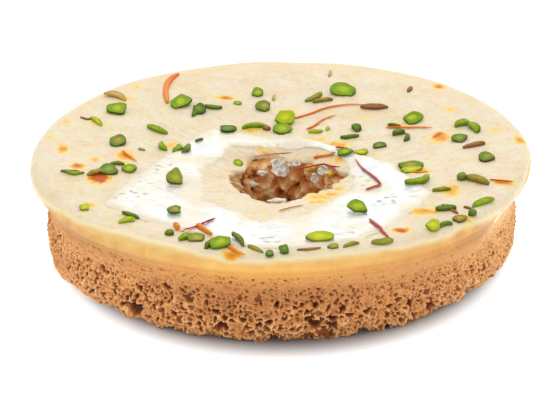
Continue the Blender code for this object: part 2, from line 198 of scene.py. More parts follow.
# Where the side is drawn in: direction and half width in degrees, and how far at each height.
DRAWN_HEIGHTS = (0.0, 3.0, 6.0, 9.6, 13.0, 16.6, 19.4, 22.0, 24.0, 26.0, 27.0)
DRAWN_IN = (
    (190, 23, (0, 0.4, 0.9, 1.5, 2.1, 2.8, 3.8, 4.4, 3.6, 1.7, 0.6)),
    (-21, 18, (0, 0.5, 0.5, 0.1, 0.5, 1.3, 2.7, 4, 3.6, 2, 0.8)),
    (278, 46, (0.8, 2, 1.4, 0.6, 0, 0, 0, 0, 0, 0, 0)),
)
# Radii between which a point comes to count as the outside.
OUTSIDE = (60.0, 77.0)
# Where more of the cells are open: direction, half width in degrees and added share.
COARSE_SIDES = ((262, 42, 0.35), (316, 20, 0.1))
# Where the bubbles reach higher up, or less high: direction, half width in degrees and how much.
HIGHER_LACE = ((206, 30, 3.5), (262, 28, 2.6), (-16, 22, -3.6))
# Heights between which that shift sets in, the lace closes, and the rough foot ends.
SHIFT_SETS_IN = (4.0, 14.0)
LACE_CLOSES = (16.0, 25.5)
FOOT_ENDS = (1.0, 9.0)
# Sides of the crust: direction and half width in degrees, and strength, of a tan tone and a pale one.
TAN_SIDES = (
    (206, 20, 1), (236, 14, 0.5), (20, 25, 0.4), (120, 30, 0.7), (-37, 16, 0.85), (-66, 14, 0.25),
)
PALE_SIDES = ((333, 9, 1.0), (60, 14, 0.6), (165, 12, 0.5), (-16, 12, 0.75))
# The tone of the crust changes with height, from this height and over this span, in uneven patches.
CRUST_FROM = 2.5
CRUST_SPAN = 30.0
CRUST_UNEVEN = 5.0


def colour(red, green, blue):
    """A colour as it looks on a screen, 0 to 255, as the shader's linear values."""
    linear = [(c / 255.0 + 0.055) / 1.055 for c in (red, green, blue)]
    return tuple(c ** 2.4 for c in linear) + (1.0,)


def smoothstep(low, high, value):
    t = np.clip((value - low) / (high - low), 0.0, 1.0)
    return t * t * (3.0 - 2.0 * t)


def fade(low, high, value):
    """1 up to the low value, and softly down to 0 at the high one."""
    return 1.0 - smoothstep(low, high, value)


def cut_corners(points, rounds=3):
    """A softer line on the same course."""
    points = [np.array(point, float) for point in points]
    for _ in range(rounds):
        softer = [points[0]]
        for a, b in zip(points, points[1:]):
            softer += [0.75 * a + 0.25 * b, 0.25 * a + 0.75 * b]
        points = softer + [points[-1]]
    return np.array(points)


def even_points(points, count):
    """Points at equal steps along a line, and how far along it each one lies."""
    run = np.concatenate([[0.0], np.cumsum(np.hypot(*np.diff(points, axis=0).T))])
    steps = np.linspace(0.0, run[-1], count)
    return np.column_stack([np.interp(steps, run, points[:, axis]) for axis in (0, 1)]), steps


def soft_noise(draw, along, down, cell, turn):
    """A smooth random field from -1 to 1 over an unrolled band that closes after one turn."""
    columns = max(3, round(turn / cell))
    rows = int(down.max() / cell) + 3
    lattice = draw.uniform(-1.0, 1.0, (rows, columns))
    x = along * columns / turn
    y = down / cell
    i = np.floor(x).astype(int)
    j = np.floor(y).astype(int)
    u = smoothstep(0.0, 1.0, x - i)
    v = smoothstep(0.0, 1.0, y - j)
    near, far = i % columns, (i + 1) % columns
    upper = lattice[j, near] * (1 - u) + lattice[j, far] * u
    lower = lattice[j + 1, near] * (1 - u) + lattice[j + 1, far] * u
    return upper * (1 - v) + lower * v


flank_line, flank_run = even_points(cut_corners(FLANK), FLANK_ROWS)
flank_heights = flank_line[:, 1]
flank_slope = np.gradient(flank_line, axis=0)
flank_slope /= np.linalg.norm(flank_slope, axis=1)[:, None]
flank_normals = np.column_stack([-flank_slope[:, 1], flank_slope[:, 0]])
COLUMN_STEP = TURN / FLANK_COLUMNS


def lace(draw, along, down, size, turn):
    """Irregular cells that fill an unrolled band: how far in from its wall each point lies, a random
    number for its cell, and how far down the middle of the cell is."""
    columns = round(turn / size)
    rows = int(down.max() / size) + 4
    seeds = draw.uniform(0.06, 0.94, (2, rows, columns))
    luck = draw.uniform(0.0, 1.0, (rows, columns))
    x, y = along * columns / turn, down / size + 1.0
    i, j = np.floor(x).astype(int), np.floor(y).astype(int)
    nearest, second = np.full((2, *x.shape), 9.0)
    number, middle = np.zeros((2, *x.shape))
    for row_step in (-1, 0, 1):
        row = np.clip(j + row_step, 0, rows - 1)
        for column_step in (-1, 0, 1):
            column = (i + column_step) % columns
            aside = i + column_step + seeds[0, row, column] - x
            away = np.hypot(aside, row + seeds[1, row, column] - y)
            closer = away < nearest
            second = np.where(closer, nearest, np.minimum(second, away))
            nearest = np.where(closer, away, nearest)
            number = np.where(closer, luck[row, column], number)
            middle = np.where(closer, (row + seeds[1, row, column] - 1.0) * size, middle)
    return 0.5 * size * (second - nearest), number, middle


def places(x, y, z):
    """Points from their coordinates, which may be numbers, rows, columns or grids."""
    return np.stack(np.broadcast_arrays(x, y, z), axis=-1)


def directions(points):
    return np.degrees(np.arctan2(points[..., 1], points[..., 0]))


def apart(degrees, centre):
    """How far directions lie from another one, the short way round."""
    return (degrees - centre + 180.0) % 360.0 - 180.0


def direction_bumps(table, degrees):
    """Sum of soft bumps round the disc."""
    return sum(
        size * np.exp(-((apart(degrees, centre) / half_width) ** 2)) for centre, half_width, size in table
    )


def side_tones(points):
    """How tan and how pale the crust is at each point, by its side of the sweet."""
    sides = directions(points)
    tan, pale = (np.clip(direction_bumps(table, sides), 0.0, 1.0) for table in (TAN_SIDES, PALE_SIDES))
    return {"tan": tan, "pale": pale}


def drawn_in(points):
    """Points of the outside moved towards the middle on the sides that are narrower."""
    sides = directions(points)
    radius = np.hypot(points[..., 0], points[..., 1])
    height = points[..., 2]
    inward = sum(
        np.exp(-((apart(sides, centre) / half_width) ** 4)) * np.interp(height, DRAWN_HEIGHTS, sizes)
        for centre, half_width, sizes in DRAWN_IN
    )
    kept = 1.0 - inward * smoothstep(*OUTSIDE, radius) / np.maximum(radius, 1.0)
    return points * places(kept, kept, 1.0)


def flank_relief():
    """How far the side stands out from its smooth line, how much shade is painted at each point in the
    bubbles and dimples, and how much painted highlight lies on the thin rim of a bubble."""
    draw = np.random.default_rng(SEED)
    along, down = np.meshgrid(np.arange(FLANK_COLUMNS) * COLUMN_STEP, flank_run)
    degrees = np.degrees(along / MEAN_RADIUS)
    higher = direction_bumps(HIGHER_LACE, degrees)

    def lace_height(true_height):
        """The height by which the lace is chosen, which is shifted on some sides."""
        return true_height - higher * smoothstep(*SHIFT_SETS_IN, true_height)

    height = lace_height(flank_heights[:, None])
    openness = fade(*LACE_CLOSES, height)
    coarse = 1.0 + direction_bumps(COARSE_SIDES, degrees)
    foot = fade(*FOOT_ENDS, flank_heights[:, None])
    rough = fade(*LACE_CLOSES, flank_heights[:, None])

    def field(cell):
        return soft_noise(draw, along, down, cell, TURN)

    depth, pit, dimples, dimple_shade, rim_highlights = np.zeros((5, *along.shape))
    for size, wall, deep, shares in LACE:
        # The cells of this size, on a bent lattice: some are open bubbles, and the rest shallow dimples.
        bend = 0.16 * size
        bent_along, bent_down = (
            place + bend * field(0.9 * size) + 0.5 * bend * field(0.4 * size) for place in (along, down)
        )
        inward, number, middle = lace(draw, bent_along, np.maximum(0.0, bent_down), size, TURN)
        middle_height = lace_height(np.interp(middle, flank_run, flank_heights))
        share = np.interp(middle_height, LACE_HEIGHTS, shares) * coarse
        opened = number < share
        wall_here = wall * (1.0 + 0.45 * field(1.7)) + 0.09 * size * smoothstep(14.0, 24.0, height)
        inside = smoothstep(wall_here, wall_here + 0.1 + 0.1 * size, inward) * opened
        deep_here = deep * (0.45 + 0.55 * (number / np.maximum(share, 1e-6)) % 0.5 * 2.0)
        depth = np.maximum(depth, inside * deep_here)
        # Painted shade inside the open bubbles, darker the deeper they are.
        pit = np.maximum(pit, inside * np.minimum(1.0, 0.2 + 0.52 * deep_here))
        # Painted highlight on the thin rims of the larger open bubbles, which also stand out a little.
        rim = opened * (size > 2.0) * fade(wall_here, wall_here + 0.3, inward)
        rim_highlights = np.maximum(rim_highlights, rim * fade(7.0, 13.0, height))
        shallow = smoothstep(0.04 * size, 0.34 * size, inward) * ~opened * (size < 4.0)
        dimples += (0.16 + 0.1 * number) * size * shallow
        # Painted shade in the shallow dimples.
        dimple_shade = np.maximum(dimple_shade, 0.32 * shallow * (0.4 + 0.6 * number))
    # Lumps and crumbs of the batter between the bubbles, the more the nearer to the foot.
    lumps = 0.45 * field(11.0) + 0.45 * rough * field(4.5) + 0.25 * rough * field(2.1)
    lumps += 0.9 * foot * field(5.5) + 0.5 * foot * field(2.4) + 0.35 * foot
    crumbs = openness * (0.1 * field(0.45) + 0.12 * field(0.8))
    relief = lumps * (0.15 + 0.85 * rough) + crumbs + 0.35 * rough - openness * dimples + 0.3 * rim_highlights - depth
    return relief, np.maximum(pit, dimple_shade * openness), rim_highlights


def finish(name, bm, material, slot, *nodes, crisp=False):
    """A piece in millimetres made an object in metres, which rides on the sweet."""
    bmesh.ops.scale(bm, vec=(MM, MM, MM), verts=bm.verts)
    mesh = bpy.data.meshes.new(name)
    bm.to_mesh(mesh)
    bm.free()
    mesh.materials.append(material)
    mesh.shade_smooth()
    if crisp:
        mesh.set_sharp_from_angle(angle=CUT_EDGE)
    piece = new_object(name, mesh)
    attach(piece, "root")
    if nodes:
        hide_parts(*nodes)
    return piece


def mix(tree, factor, first, second, blend="MIX"):
    """The colour between two colours."""
    return add(tree, "Mix", {0: factor, 6: first, 7: second}, data_type="RGBA", blend_type=blend).outputs[2]


def ramp(tree, value, *stops):
    """A colour that runs through stops of (position, red, green, blue)."""
    made = add(tree, "ValToRGB", {"Fac": value})
    elements = made.color_ramp.elements
    while len(elements) < len(stops):
        elements.new(0.5)
    for element, (position, *shade) in zip(elements, stops):
        element.position = position
        element.color = colour(*shade)
    return made.outputs["Color"]


def attribute(tree, name, output="Fac"):
    return add(tree, "Attribute", attribute_name=name).outputs[output]


def soon_full(tree, value, times):
    """A mask made stronger, up to 1."""
    return math_node(tree, "MINIMUM", 1.0, math_node(tree, "MULTIPLY", value, times))


def speckle_group():
    """Soft patches and fine grain, which every food surface here has in its own amounts."""
    group = bpy.data.node_groups.new("speckle", "ShaderNodeTree")
    for name, default in (("Patch Size", 8.0), ("Grain Size", 0.5)):
        socket = group.interface.new_socket(name, in_out="INPUT", socket_type="NodeSocketFloat")
        socket.default_value = default
    for name in ("Patches", "Grain"):
        group.interface.new_socket(name, in_out="OUTPUT", socket_type="NodeSocketFloat")
    given = group.nodes.new("NodeGroupInput")
    given_out = group.nodes.new("NodeGroupOutput")
    place = add(group, "TexCoord").outputs["Object"]
    for size, result, detail in (("Patch Size", "Patches", 3.0), ("Grain Size", "Grain", 4.0)):
        scale = math_node(group, "DIVIDE", 1.0 / MM, given.outputs[size])
        field = add(group, "TexNoise", {"Vector": place, "Scale": scale, "Detail": detail})
        group.links.new(field.outputs["Fac"], given_out.inputs[result])
    return group


SPECKLE = speckle_group()


def speckle(tree, patch_size, grain_size):
    """Patches and grain of these sizes in millimetres."""
    sizes = {"Patch Size": patch_size, "Grain Size": grain_size}
    return add(tree, "Group", sizes, node_tree=SPECKLE).outputs


def height_of(tree):
    """Height above the table in millimetres."""
    place = add(tree, "SeparateXYZ", {"Vector": add(tree, "TexCoord").outputs["Object"]})
    return math_node(tree, "DIVIDE", place.outputs["Z"], MM)


def bump(tree, shader, height, distance, strength):
    made = add(tree, "Bump", {"Height": height, "Distance": distance * MM, "Strength": strength})
    tree.links.new(made.outputs["Normal"], shader.inputs["Normal"])


def crust_group():
    """Tone of the fried crust: gold high on the side, tan below, paler or browner by its side."""
    group = bpy.data.node_groups.new("crust", "ShaderNodeTree")
    group.interface.new_socket("Colour", in_out="OUTPUT", socket_type="NodeSocketColor")
    given_out = group.nodes.new("NodeGroupOutput")
    patches, grain = speckle(group, 6.0, 0.4)
    lifted = math_node(group, "ADD", height_of(group), math_node(group, "MULTIPLY", patches, CRUST_UNEVEN))
    level = math_node(group, "DIVIDE", math_node(group, "SUBTRACT", lifted, CRUST_FROM), CRUST_SPAN)
    tone = ramp(
        group, level, (0, 232, 164, 101), (0.33, 211, 146, 87), (0.5, 196, 132, 78), (0.64, 192, 132, 72),
        (0.74, 205, 142, 74), (0.84, 226, 163, 83), (0.94, 240, 187, 103), (1, 250, 206, 128),
    )
    tan = ramp(
        group, level, (0.3, 238, 175, 112), (0.5, 254, 196, 124), (0.72, 216, 156, 100),
        (0.82, 188, 132, 82), (0.9, 194, 145, 94), (0.95, 222, 169, 110), (1, 243, 204, 129),
    )
    pale = ramp(
        group, level, (0.3, 238, 180, 116), (0.5, 244, 190, 124), (0.7, 238, 192, 136),
        (0.9, 234, 192, 142),
    )
    tone = mix(group, attribute(group, "tan"), tone, tan)
    tone = mix(group, attribute(group, "pale"), tone, pale)
    grained = ramp(group, grain, (0.3, 176, 170, 158), (0.7, 198, 202, 204))
    group.links.new(mix(group, 0.6, tone, grained, "OVERLAY"), given_out.inputs["Colour"])
    return group


CRUST = crust_group()


def crust_tone(tree):
    return add(tree, "Group", node_tree=CRUST).outputs["Colour"]


def dough_material():
    """Fried batter, browned in the hole and underneath, with painted shade in its bubbles, dimples and the
    creases of the hole's folds, and painted highlights on the rim of each larger bubble and on the folds'
    ridges.
    """
    material, tree, shader = new_material("fried_dough", Roughness=0.6, Specular_IOR_Level=0.3)
    _, grain = speckle(tree, 7.0, 0.35)
    toast = attribute(tree, "toast")
    # Browning tones, rising to a painted highlight for the ridges of the hole's folds.
    toasted = ramp(
        tree, toast, (0.4, 226, 166, 108), (0.7, 216, 142, 78), (0.85, 244, 184, 116), (1, 255, 224, 172),
    )
    # Painted highlight: a paler crust on the thin rims of the larger bubbles.
    rim = math_node(tree, "MULTIPLY", attribute(tree, "rim"), 0.6)
    crust = mix(tree, rim, crust_tone(tree), colour(250, 202, 138))
    crust = mix(tree, soon_full(tree, toast, 2.5), crust, toasted)
    # Painted shade: dark brown in the bubbles, dimples, creases of the hole's folds and the underside's
    # bubbles.
    pit = attribute(tree, "pit")
    inside = ramp(tree, pit, (0.1, 214, 146, 84), (0.5, 166, 98, 48), (1, 88, 40, 16))
    tree.links.new(mix(tree, soon_full(tree, pit, 2.5), crust, inside), shader.inputs["Base Color"])
    bump(tree, shader, grain, distance=0.12, strength=0.6)
    return material


def shaped_grid(points, closed_round=True, **values):
    """A grid of faces bent to points[row, column], with its seams merged; values go with the points."""
    rows, columns = points.shape[:2]
    bm = bmesh.new()
    bmesh.ops.create_grid(bm, x_segments=columns - 1, y_segments=rows - 1, size=0.5)
    layers = {name: bm.verts.layers.float.new(name) for name in values}
    for vert in bm.verts:
        row = round((vert.co.y + 0.5) * (rows - 1))
        column = round((vert.co.x + 0.5) * (columns - 1))
        vert.co = points[row, column]
        for name, layer in layers.items():
            vert[layer] = values[name][row, column]
    bmesh.ops.remove_doubles(bm, verts=bm.verts, dist=SEAM_GAP)
    if not closed_round:
        ends = [edge for edge in bm.edges if edge.is_boundary]
        for edge in ends:
            edge.smooth = False
        bmesh.ops.holes_fill(bm, edges=ends, sides=0)
    bmesh.ops.recalc_face_normals(bm, faces=bm.faces)
    return bm


def turned(radius, height, angle):
    """Points on circles about Z."""
    return places(radius * np.cos(angle), radius * np.sin(angle), height)


DOUGH = dough_material()
relief, pits, rim_highlights = flank_relief()
flank_angles = np.arange(FLANK_COLUMNS + 1) * TAU / FLANK_COLUMNS
relief, pits, rim_highlights = (np.append(field, field[:, :1], axis=1) for field in (relief, pits, rim_highlights))
side_radius = flank_line[:, :1] + flank_normals[:, :1] * relief
side_height = np.maximum(0.0, flank_line[:, 1:] + flank_normals[:, 1:] * relief)
side = turned(side_radius, side_height, flank_angles)
inside = [turned(radius, height, flank_angles) for radius, height in FLANK_INSIDE]
side = drawn_in(np.concatenate([side, inside, side[:1]]))
unseen = np.zeros((len(inside), FLANK_COLUMNS + 1))
pits, rim_highlights = (np.concatenate([field, unseen, field[:1]]) for field in (pits, rim_highlights))
for quarter in range(QUARTERS):
    first = quarter * FLANK_COLUMNS // QUARTERS
    share = slice(first, first + FLANK_COLUMNS // QUARTERS + 1)
    part = side[:, share]
    bm = shaped_grid(part, False, pit=pits[:, share], rim=rim_highlights[:, share], **side_tones(part))
    finish(f"dough_flank_{quarter + 1}", bm, DOUGH, "fried_dough", "fried_base")

# ---------------------------------------------------------------- dough core
# The rest of the fried dough: the wall of the hole, where the batter hardened in twisted brown folds,
# the open bubbles of the underside, and the seat of the cream, which is hidden.
TOP_HEIGHT = 31.0
DISH_DEPTH = 3.0
DISH_RADIUS = 22.0
RIM_RADIUS = 77.0
HOLE_X = 1.0
HOLE_Y = -13.0
HOLE_RADIUS = 17.5
HOLE_SAG = 1.5
HOLE_SAG_RADIUS = 30.0
HOLE_SHIFT_RADIUS = 70.0
HOLE_WOBBLE = ((2, 0.7, 0.6), (3, 0.55, 2.0), (5, 0.35, 4.1))
HOLE_WALL = (
    (19.6, 0.0), (18.4, 0.8), (15.8, 4.0), (14.6, 9.5), (14.8, 14.0), (15.8, 18.5), (17.0, 22.0),
    (19.4, 24.2),
)
CORE_COLUMNS = 480
WALL_ROWS = 110
# Folds of the wall, one over the other: span, height and lean. Then how far they sink in or stand out.
FOLDS = ((8.0, 2.6, 0.9), (4.4, 2.4, -0.7), (2.4, 2.0, 0.5), (1.3, 1.1, -0.4), (0.7, 0.4, 0.3))
FOLD_LIMITS = (-2.6, 3.0)
SEAT_DEPTH = 4.3
CORE_SEAT_RADII = (22.0, 32.0, 46.0, 60.0, 67.9)
CORE_OUTSIDE = ((68.0, 20.0), (68.0, 0.5))
UNDERSIDE_ROWS = 62
UNDERSIDE_BUBBLES = 420
BUBBLE_RADII = (22.0, 66.0)
BUBBLE_SIZES = (1.0, 2.4)
BUBBLES_SET_IN = (20.3, 22.5)
BUBBLES_END = (65.5, 67.5)
# Where the wall of the hole is paler: direction and half width in degrees, and how much.
PALER_WALL = ((182, 44, 0.24), (140, 20, 0.08))


def smooth_top(x, y):
    """Height of the cream without its swells: a shallow dish that sags round the hole."""
    dish = DISH_DEPTH * fade(DISH_RADIUS, RIM_RADIUS, np.hypot(x, y))
    sag = HOLE_SAG * fade(HOLE_RADIUS, HOLE_SAG_RADIUS, np.hypot(x - HOLE_X, y - HOLE_Y))
    return TOP_HEIGHT - dish - sag


def around_hole(radius, angle):
    """Rings near the hole are centred on it and uneven, and the outermost ones on the disc."""
    wobble = sum(size * np.sin(turns * angle + phase) for turns, size, phase in HOLE_WOBBLE)
    radius_there = radius + wobble * fade(HOLE_RADIUS, HOLE_SAG_RADIUS, radius)
    follows = fade(HOLE_RADIUS, HOLE_SHIFT_RADIUS, radius)
    return radius_there * np.cos(angle) + HOLE_X * follows, radius_there * np.sin(angle) + HOLE_Y * follows


draw = np.random.default_rng(SEED + 1)
core_angles = np.arange(CORE_COLUMNS + 1) * TAU / CORE_COLUMNS
wall_line, wall_run = even_points(cut_corners(HOLE_WALL), WALL_ROWS)
wall_turn = TAU * HOLE_RADIUS
along, up = np.meshgrid(core_angles * HOLE_RADIUS, wall_run)
folds = np.zeros_like(along)
for cell, size, lean in FOLDS:
    bend = 1.2 * soft_noise(draw, along, up, cell, wall_turn)
    ridges = 0.42 - np.abs(soft_noise(draw, along + lean * up + bend, 0.75 * up + bend, cell, wall_turn))
    folds += size * ridges
free = smoothstep(0.0, 3.0, up) * fade(wall_run[-1] - 2.0, wall_run[-1], up)
wall_relief = np.clip(folds - 0.3, *FOLD_LIMITS) * free
wall_x, wall_y = around_hole(wall_line[:, :1] - wall_relief, core_angles)
wall = places(wall_x, wall_y, wall_line[:, 1:])
seat_x, seat_y = around_hole(np.array(CORE_SEAT_RADII)[:, None], core_angles)
seat = places(seat_x, seat_y, smooth_top(seat_x, seat_y) - SEAT_DEPTH)
outside = np.stack([turned(radius, height, core_angles) for radius, height in CORE_OUTSIDE])
under_radii = np.linspace(BUBBLES_END[1], BUBBLES_SET_IN[0], UNDERSIDE_ROWS)[:, None]
under_x, under_y = around_hole(under_radii, core_angles)
under_z = np.zeros_like(under_x)
for _ in range(UNDERSIDE_BUBBLES):
    turn = draw.uniform(0.0, TAU)
    radius = math.sqrt(draw.uniform(*(reach ** 2 for reach in BUBBLE_RADII)))
    size = draw.uniform(*BUBBLE_SIZES)
    bubble_x, bubble_y = radius * math.cos(turn), radius * math.sin(turn)
    near = np.hypot(under_x - bubble_x, under_y - bubble_y - 0.1 * HOLE_Y) / size
    under_z = np.maximum(under_z, size * fade(0.6, 1.0, near))
under_z *= smoothstep(*BUBBLES_SET_IN, under_radii) * fade(*BUBBLES_END, under_radii)
core = np.concatenate([wall, seat, outside, places(under_x, under_y, under_z), wall[:1]])
# Painted shade: dark in the creases between the wall's folds and in the underside's bubbles.
shade = np.zeros(core.shape[:2])
shade[:WALL_ROWS] = 0.8 * fade(-1.9, -0.2, wall_relief) ** 1.5
shade[-UNDERSIDE_ROWS - 1:-1] = np.minimum(1.0, under_z / 1.3)
# Browning of the core. On the wall it rises on the folds' ridges, a painted highlight, and where the wall
# is paler.
toast = np.full(core.shape[:2], 0.4)
paler = direction_bumps(PALER_WALL, np.degrees(core_angles))
toast[:WALL_ROWS] = np.minimum(1.0, 0.7 + 0.3 * smoothstep(-0.6, 2.4, wall_relief) + paler)
bm = shaped_grid(core, pit=shade, toast=toast, **side_tones(core))
finish("dough_core", bm, DOUGH, "fried_dough", "fried_base")

# ---------------------------------------------------------------- rabri
# Thickened sweet milk, poured over the dough: a satin cream skin that sags round the hole, hangs over
# its edge in soft lips and runs a little way down the shoulder, stained by saffron where threads lie.
CREAM_COLUMNS = 660
CREAM_TOP_ROWS = 100
CREAM_TOP_RADII = (19.2, 75.4)
CREAM_SWELL = 0.35
SWELL_SPAN = 14.0
SWELL_ENDS_FROM = 66.0
LIP = ((21.4, -2.6), (19.4, -2.3), (18.2, -1.9), (17.7, -1.4), (17.6, -0.9), (17.9, -0.45), (18.5, -0.12))
# The far side of the lip sinks into the hole, and reaches a little further over it.
LIP_DROOP = 1.8
LIP_DROOPS_UP_TO = (15.0, 25.0)
FAR_LIP_PULLED_IN = 1.6
# Distances from the middle of the hole between which its ragged edge, wrinkles and peach tone fade out.
RAGGED_UP_TO = (17.0, 27.0)
WRINKLED_UP_TO = (18.0, 26.0)
PEACH_UP_TO = (17.0, 23.0)
# Crumples of the lip's edge, wrinkles of its skin and curds on top: pairs of span and height.
LIP_CRUMPLES = ((2.6, 0.7), (1.2, 0.4))
LIP_WRINKLES = ((5.0, 0.5), (2.3, 0.4), (1.1, 0.16))
CURDS = ((5.0, 0.16), (1.9, 0.1))
RIM = ((76.6, 30.9), (78.0, 30.55), (79.0, 29.95), (79.6, 29.2), (79.9, 28.3), (80.0, 27.4))
SKIRT_ROWS = 14
SKIRT_TOP = 26.6
SKIRT_EDGE = 24.6
SKIRT_THICKNESS = 0.3
# Runs of cream over the shoulder: direction and half width in degrees, and how much further down.
RUNS = ((197, 9, 1.6), (183, 8, 1.0), (-30, 3.2, 4.0), (60, 9, 1.6), (112, 12, 2.0), (150, 7, 1.4))
# The cream turns gold past this radius or below this height, from and to these distances past it, and
# nowhere nearer the middle than GOLD_OUTSIDE; where it starts to turn, a paler cream is painted as a
# highlight on the rim.
# Then where it does so sooner or later: direction and half width in degrees, and how far further out.
GOLD_RADIUS = 79.0
GOLD_HEIGHT = 30.6
GOLD_SETS_IN = (-0.6, 3.8)
GOLD_OUTSIDE = 66.0
GOLD_SHIFTS = (
    (236, 11, -3.6), (250, 7, -2), (197, 10, 2.2), (331, 6, 2.6), (283, 9, -1.4), (20, 16, 1.5),
    (72, 18, -2), (118, 12, 1.8), (150, 9, -2.4), (330, 3, 4.6),
)
# Notches of the hole's edge: direction and half width in degrees, and how far it is drawn back (above
# 0) or juts out (below 0).
NOTCHES = (
    (-94, 18, 6.4), (2, 10, 2.6), (-172, 16, -1.2), (-148, 14, -1.4), (-40, 14, -0.8), (70, 14, 1),
    (112, 16, 3.4),
)
CREAM_HIDDEN = ((76.0, -3.5), (60.0, -3.6), (40.0, -3.6))
# Saffron stains fade out down the rim between these heights, and reach all of the top inside this
# radius. Then each one's place, half width, half depth and strength.
DYED_ABOVE = (28.8, 30.2)
DYED_INSIDE = 70.0
STAINS = (
    (-21.8, -59.5, 1.7, 3.4, 1), (-30, -58, 2.2, 1.8, 0.7), (-18, 46, 3.4, 1.8, 0.75),
    (55, 51, 2.2, 2.4, 1), (52, 9, 3, 3.6, 1), (-49, -3, 3, 5, 0.7), (-55.5, -21.5, 3.2, 4.2, 1.25),
    (52, -34, 2.6, 4.4, 0.85), (42, -49, 4.6, 2.8, 0.62), (34.6, -62.5, 2.2, 1.7, 1.1),
    (19, 8, 3.6, 2.6, 0.7), (68, -29, 3.4, 2.4, 0.8), (-14, -76.5, 2.2, 2.4, 0.95), (-5, 9, 3.4, 3, 0.45),
    (-70, 23, 1.8, 2.2, 0.4), (-74, 10, 1.5, 2, 0.4), (-69, 0, 1.9, 2.8, 0.78), (-58, -7, 1.8, 2, 0.65),
    (-49, 54, 1.6, 2.2, 0.5), (-63, -13, 2.2, 2.4, 0.8), (-35, 8, 2.2, 3, 0.55), (-8, 21, 4, 2.2, 0.5),
    (12, 12, 4.6, 2.4, 0.35), (40, 22, 3.4, 1.8, 0.45), (-52, 44, 3.4, 3, 0.35), (61, -10, 3.4, 2.4, 0.25),
    (44, -17, 3.4, 2.2, 0.6), (70, 12, 2.2, 3.4, 0.35), (13, -31, 6, 4, 0.5), (-60, 22, 3.4, 3, 0.35),
    (57, 31, 2.4, 2.2, 0.3), (20, -1, 4, 3.4, 0.45), (-24, -52, 2, 1.4, 0.3), (30, 30, 3, 2, 0.3),
    (-63.5, -13, 1.8, 1.6, 0.8), (11, -37, 3.4, 2, 0.6), (15.5, -29.5, 2.6, 2.8, 0.65),
    (18, -24, 2, 2.6, 0.5), (-19.2, -65, 1.6, 2, 0.9), (53.8, -54.5, 1.6, 1.6, 1), (77, 4, 1.8, 3.8, 0.65),
    (67.5, -29.6, 1.6, 1.4, 0.6), (-56.4, -43, 2, 1.6, 0.6), (3, 36, 4, 2, 0.3),
)


def noise_field(x, y, span_x, span_y, layer):
    """Smooth noise at each place on top, with its spans in millimetres."""
    field = [noise.noise(Vector((a / span_x, b / span_y, layer))) for a, b in zip(x.flat, y.flat)]
    return np.array(field).reshape(x.shape)


def ring_noise(draw, angle, radius, cell):
    """A smooth random line from -1 to 1 that runs round a ring and closes."""
    along = angle[None, :] * radius
    return soft_noise(draw, along, 0.0 * along, cell, TAU * radius)[0]


def off_middle(x, y, middle_x, middle_y, half_x, half_y):
    """Square of how far each place lies from the middle of a patch, by its half width and depth."""
    return ((x - middle_x) / half_x) ** 2 + ((y - middle_y) / half_y) ** 2


def swell(x, y):
    """Soft waves of the spread cream, fading out at its rim."""
    fading = fade(SWELL_ENDS_FROM, RIM_RADIUS, np.hypot(x, y))
    return CREAM_SWELL * noise_field(x, y, SWELL_SPAN, SWELL_SPAN, SEED) * fading


def lip_droop(x, y):
    """How far the cream has sunk at the far side of the hole."""
    reach = np.hypot(x - HOLE_X, y - HOLE_Y)
    far_side = np.clip((y - HOLE_Y) / reach, 0.0, 1.0) ** 0.7
    return LIP_DROOP * far_side * fade(*LIP_DROOPS_UP_TO, reach)


def cream_surface(x, y):
    """Height of the cream where toppings lie on it."""
    x, y = np.atleast_1d(np.asarray(x, float)), np.atleast_1d(np.asarray(y, float))
    return smooth_top(x, y) - lip_droop(x, y) + swell(x, y)


def wrinkled(x, y, sizes):
    """Sharp wrinkles of several sizes: pairs of span and height."""
    return sum(
        height * (1.0 - 2.2 * np.abs(noise_field(x, y, span, span, 7.3 * index + SEED)))
        for index, (span, height) in enumerate(sizes)
    )


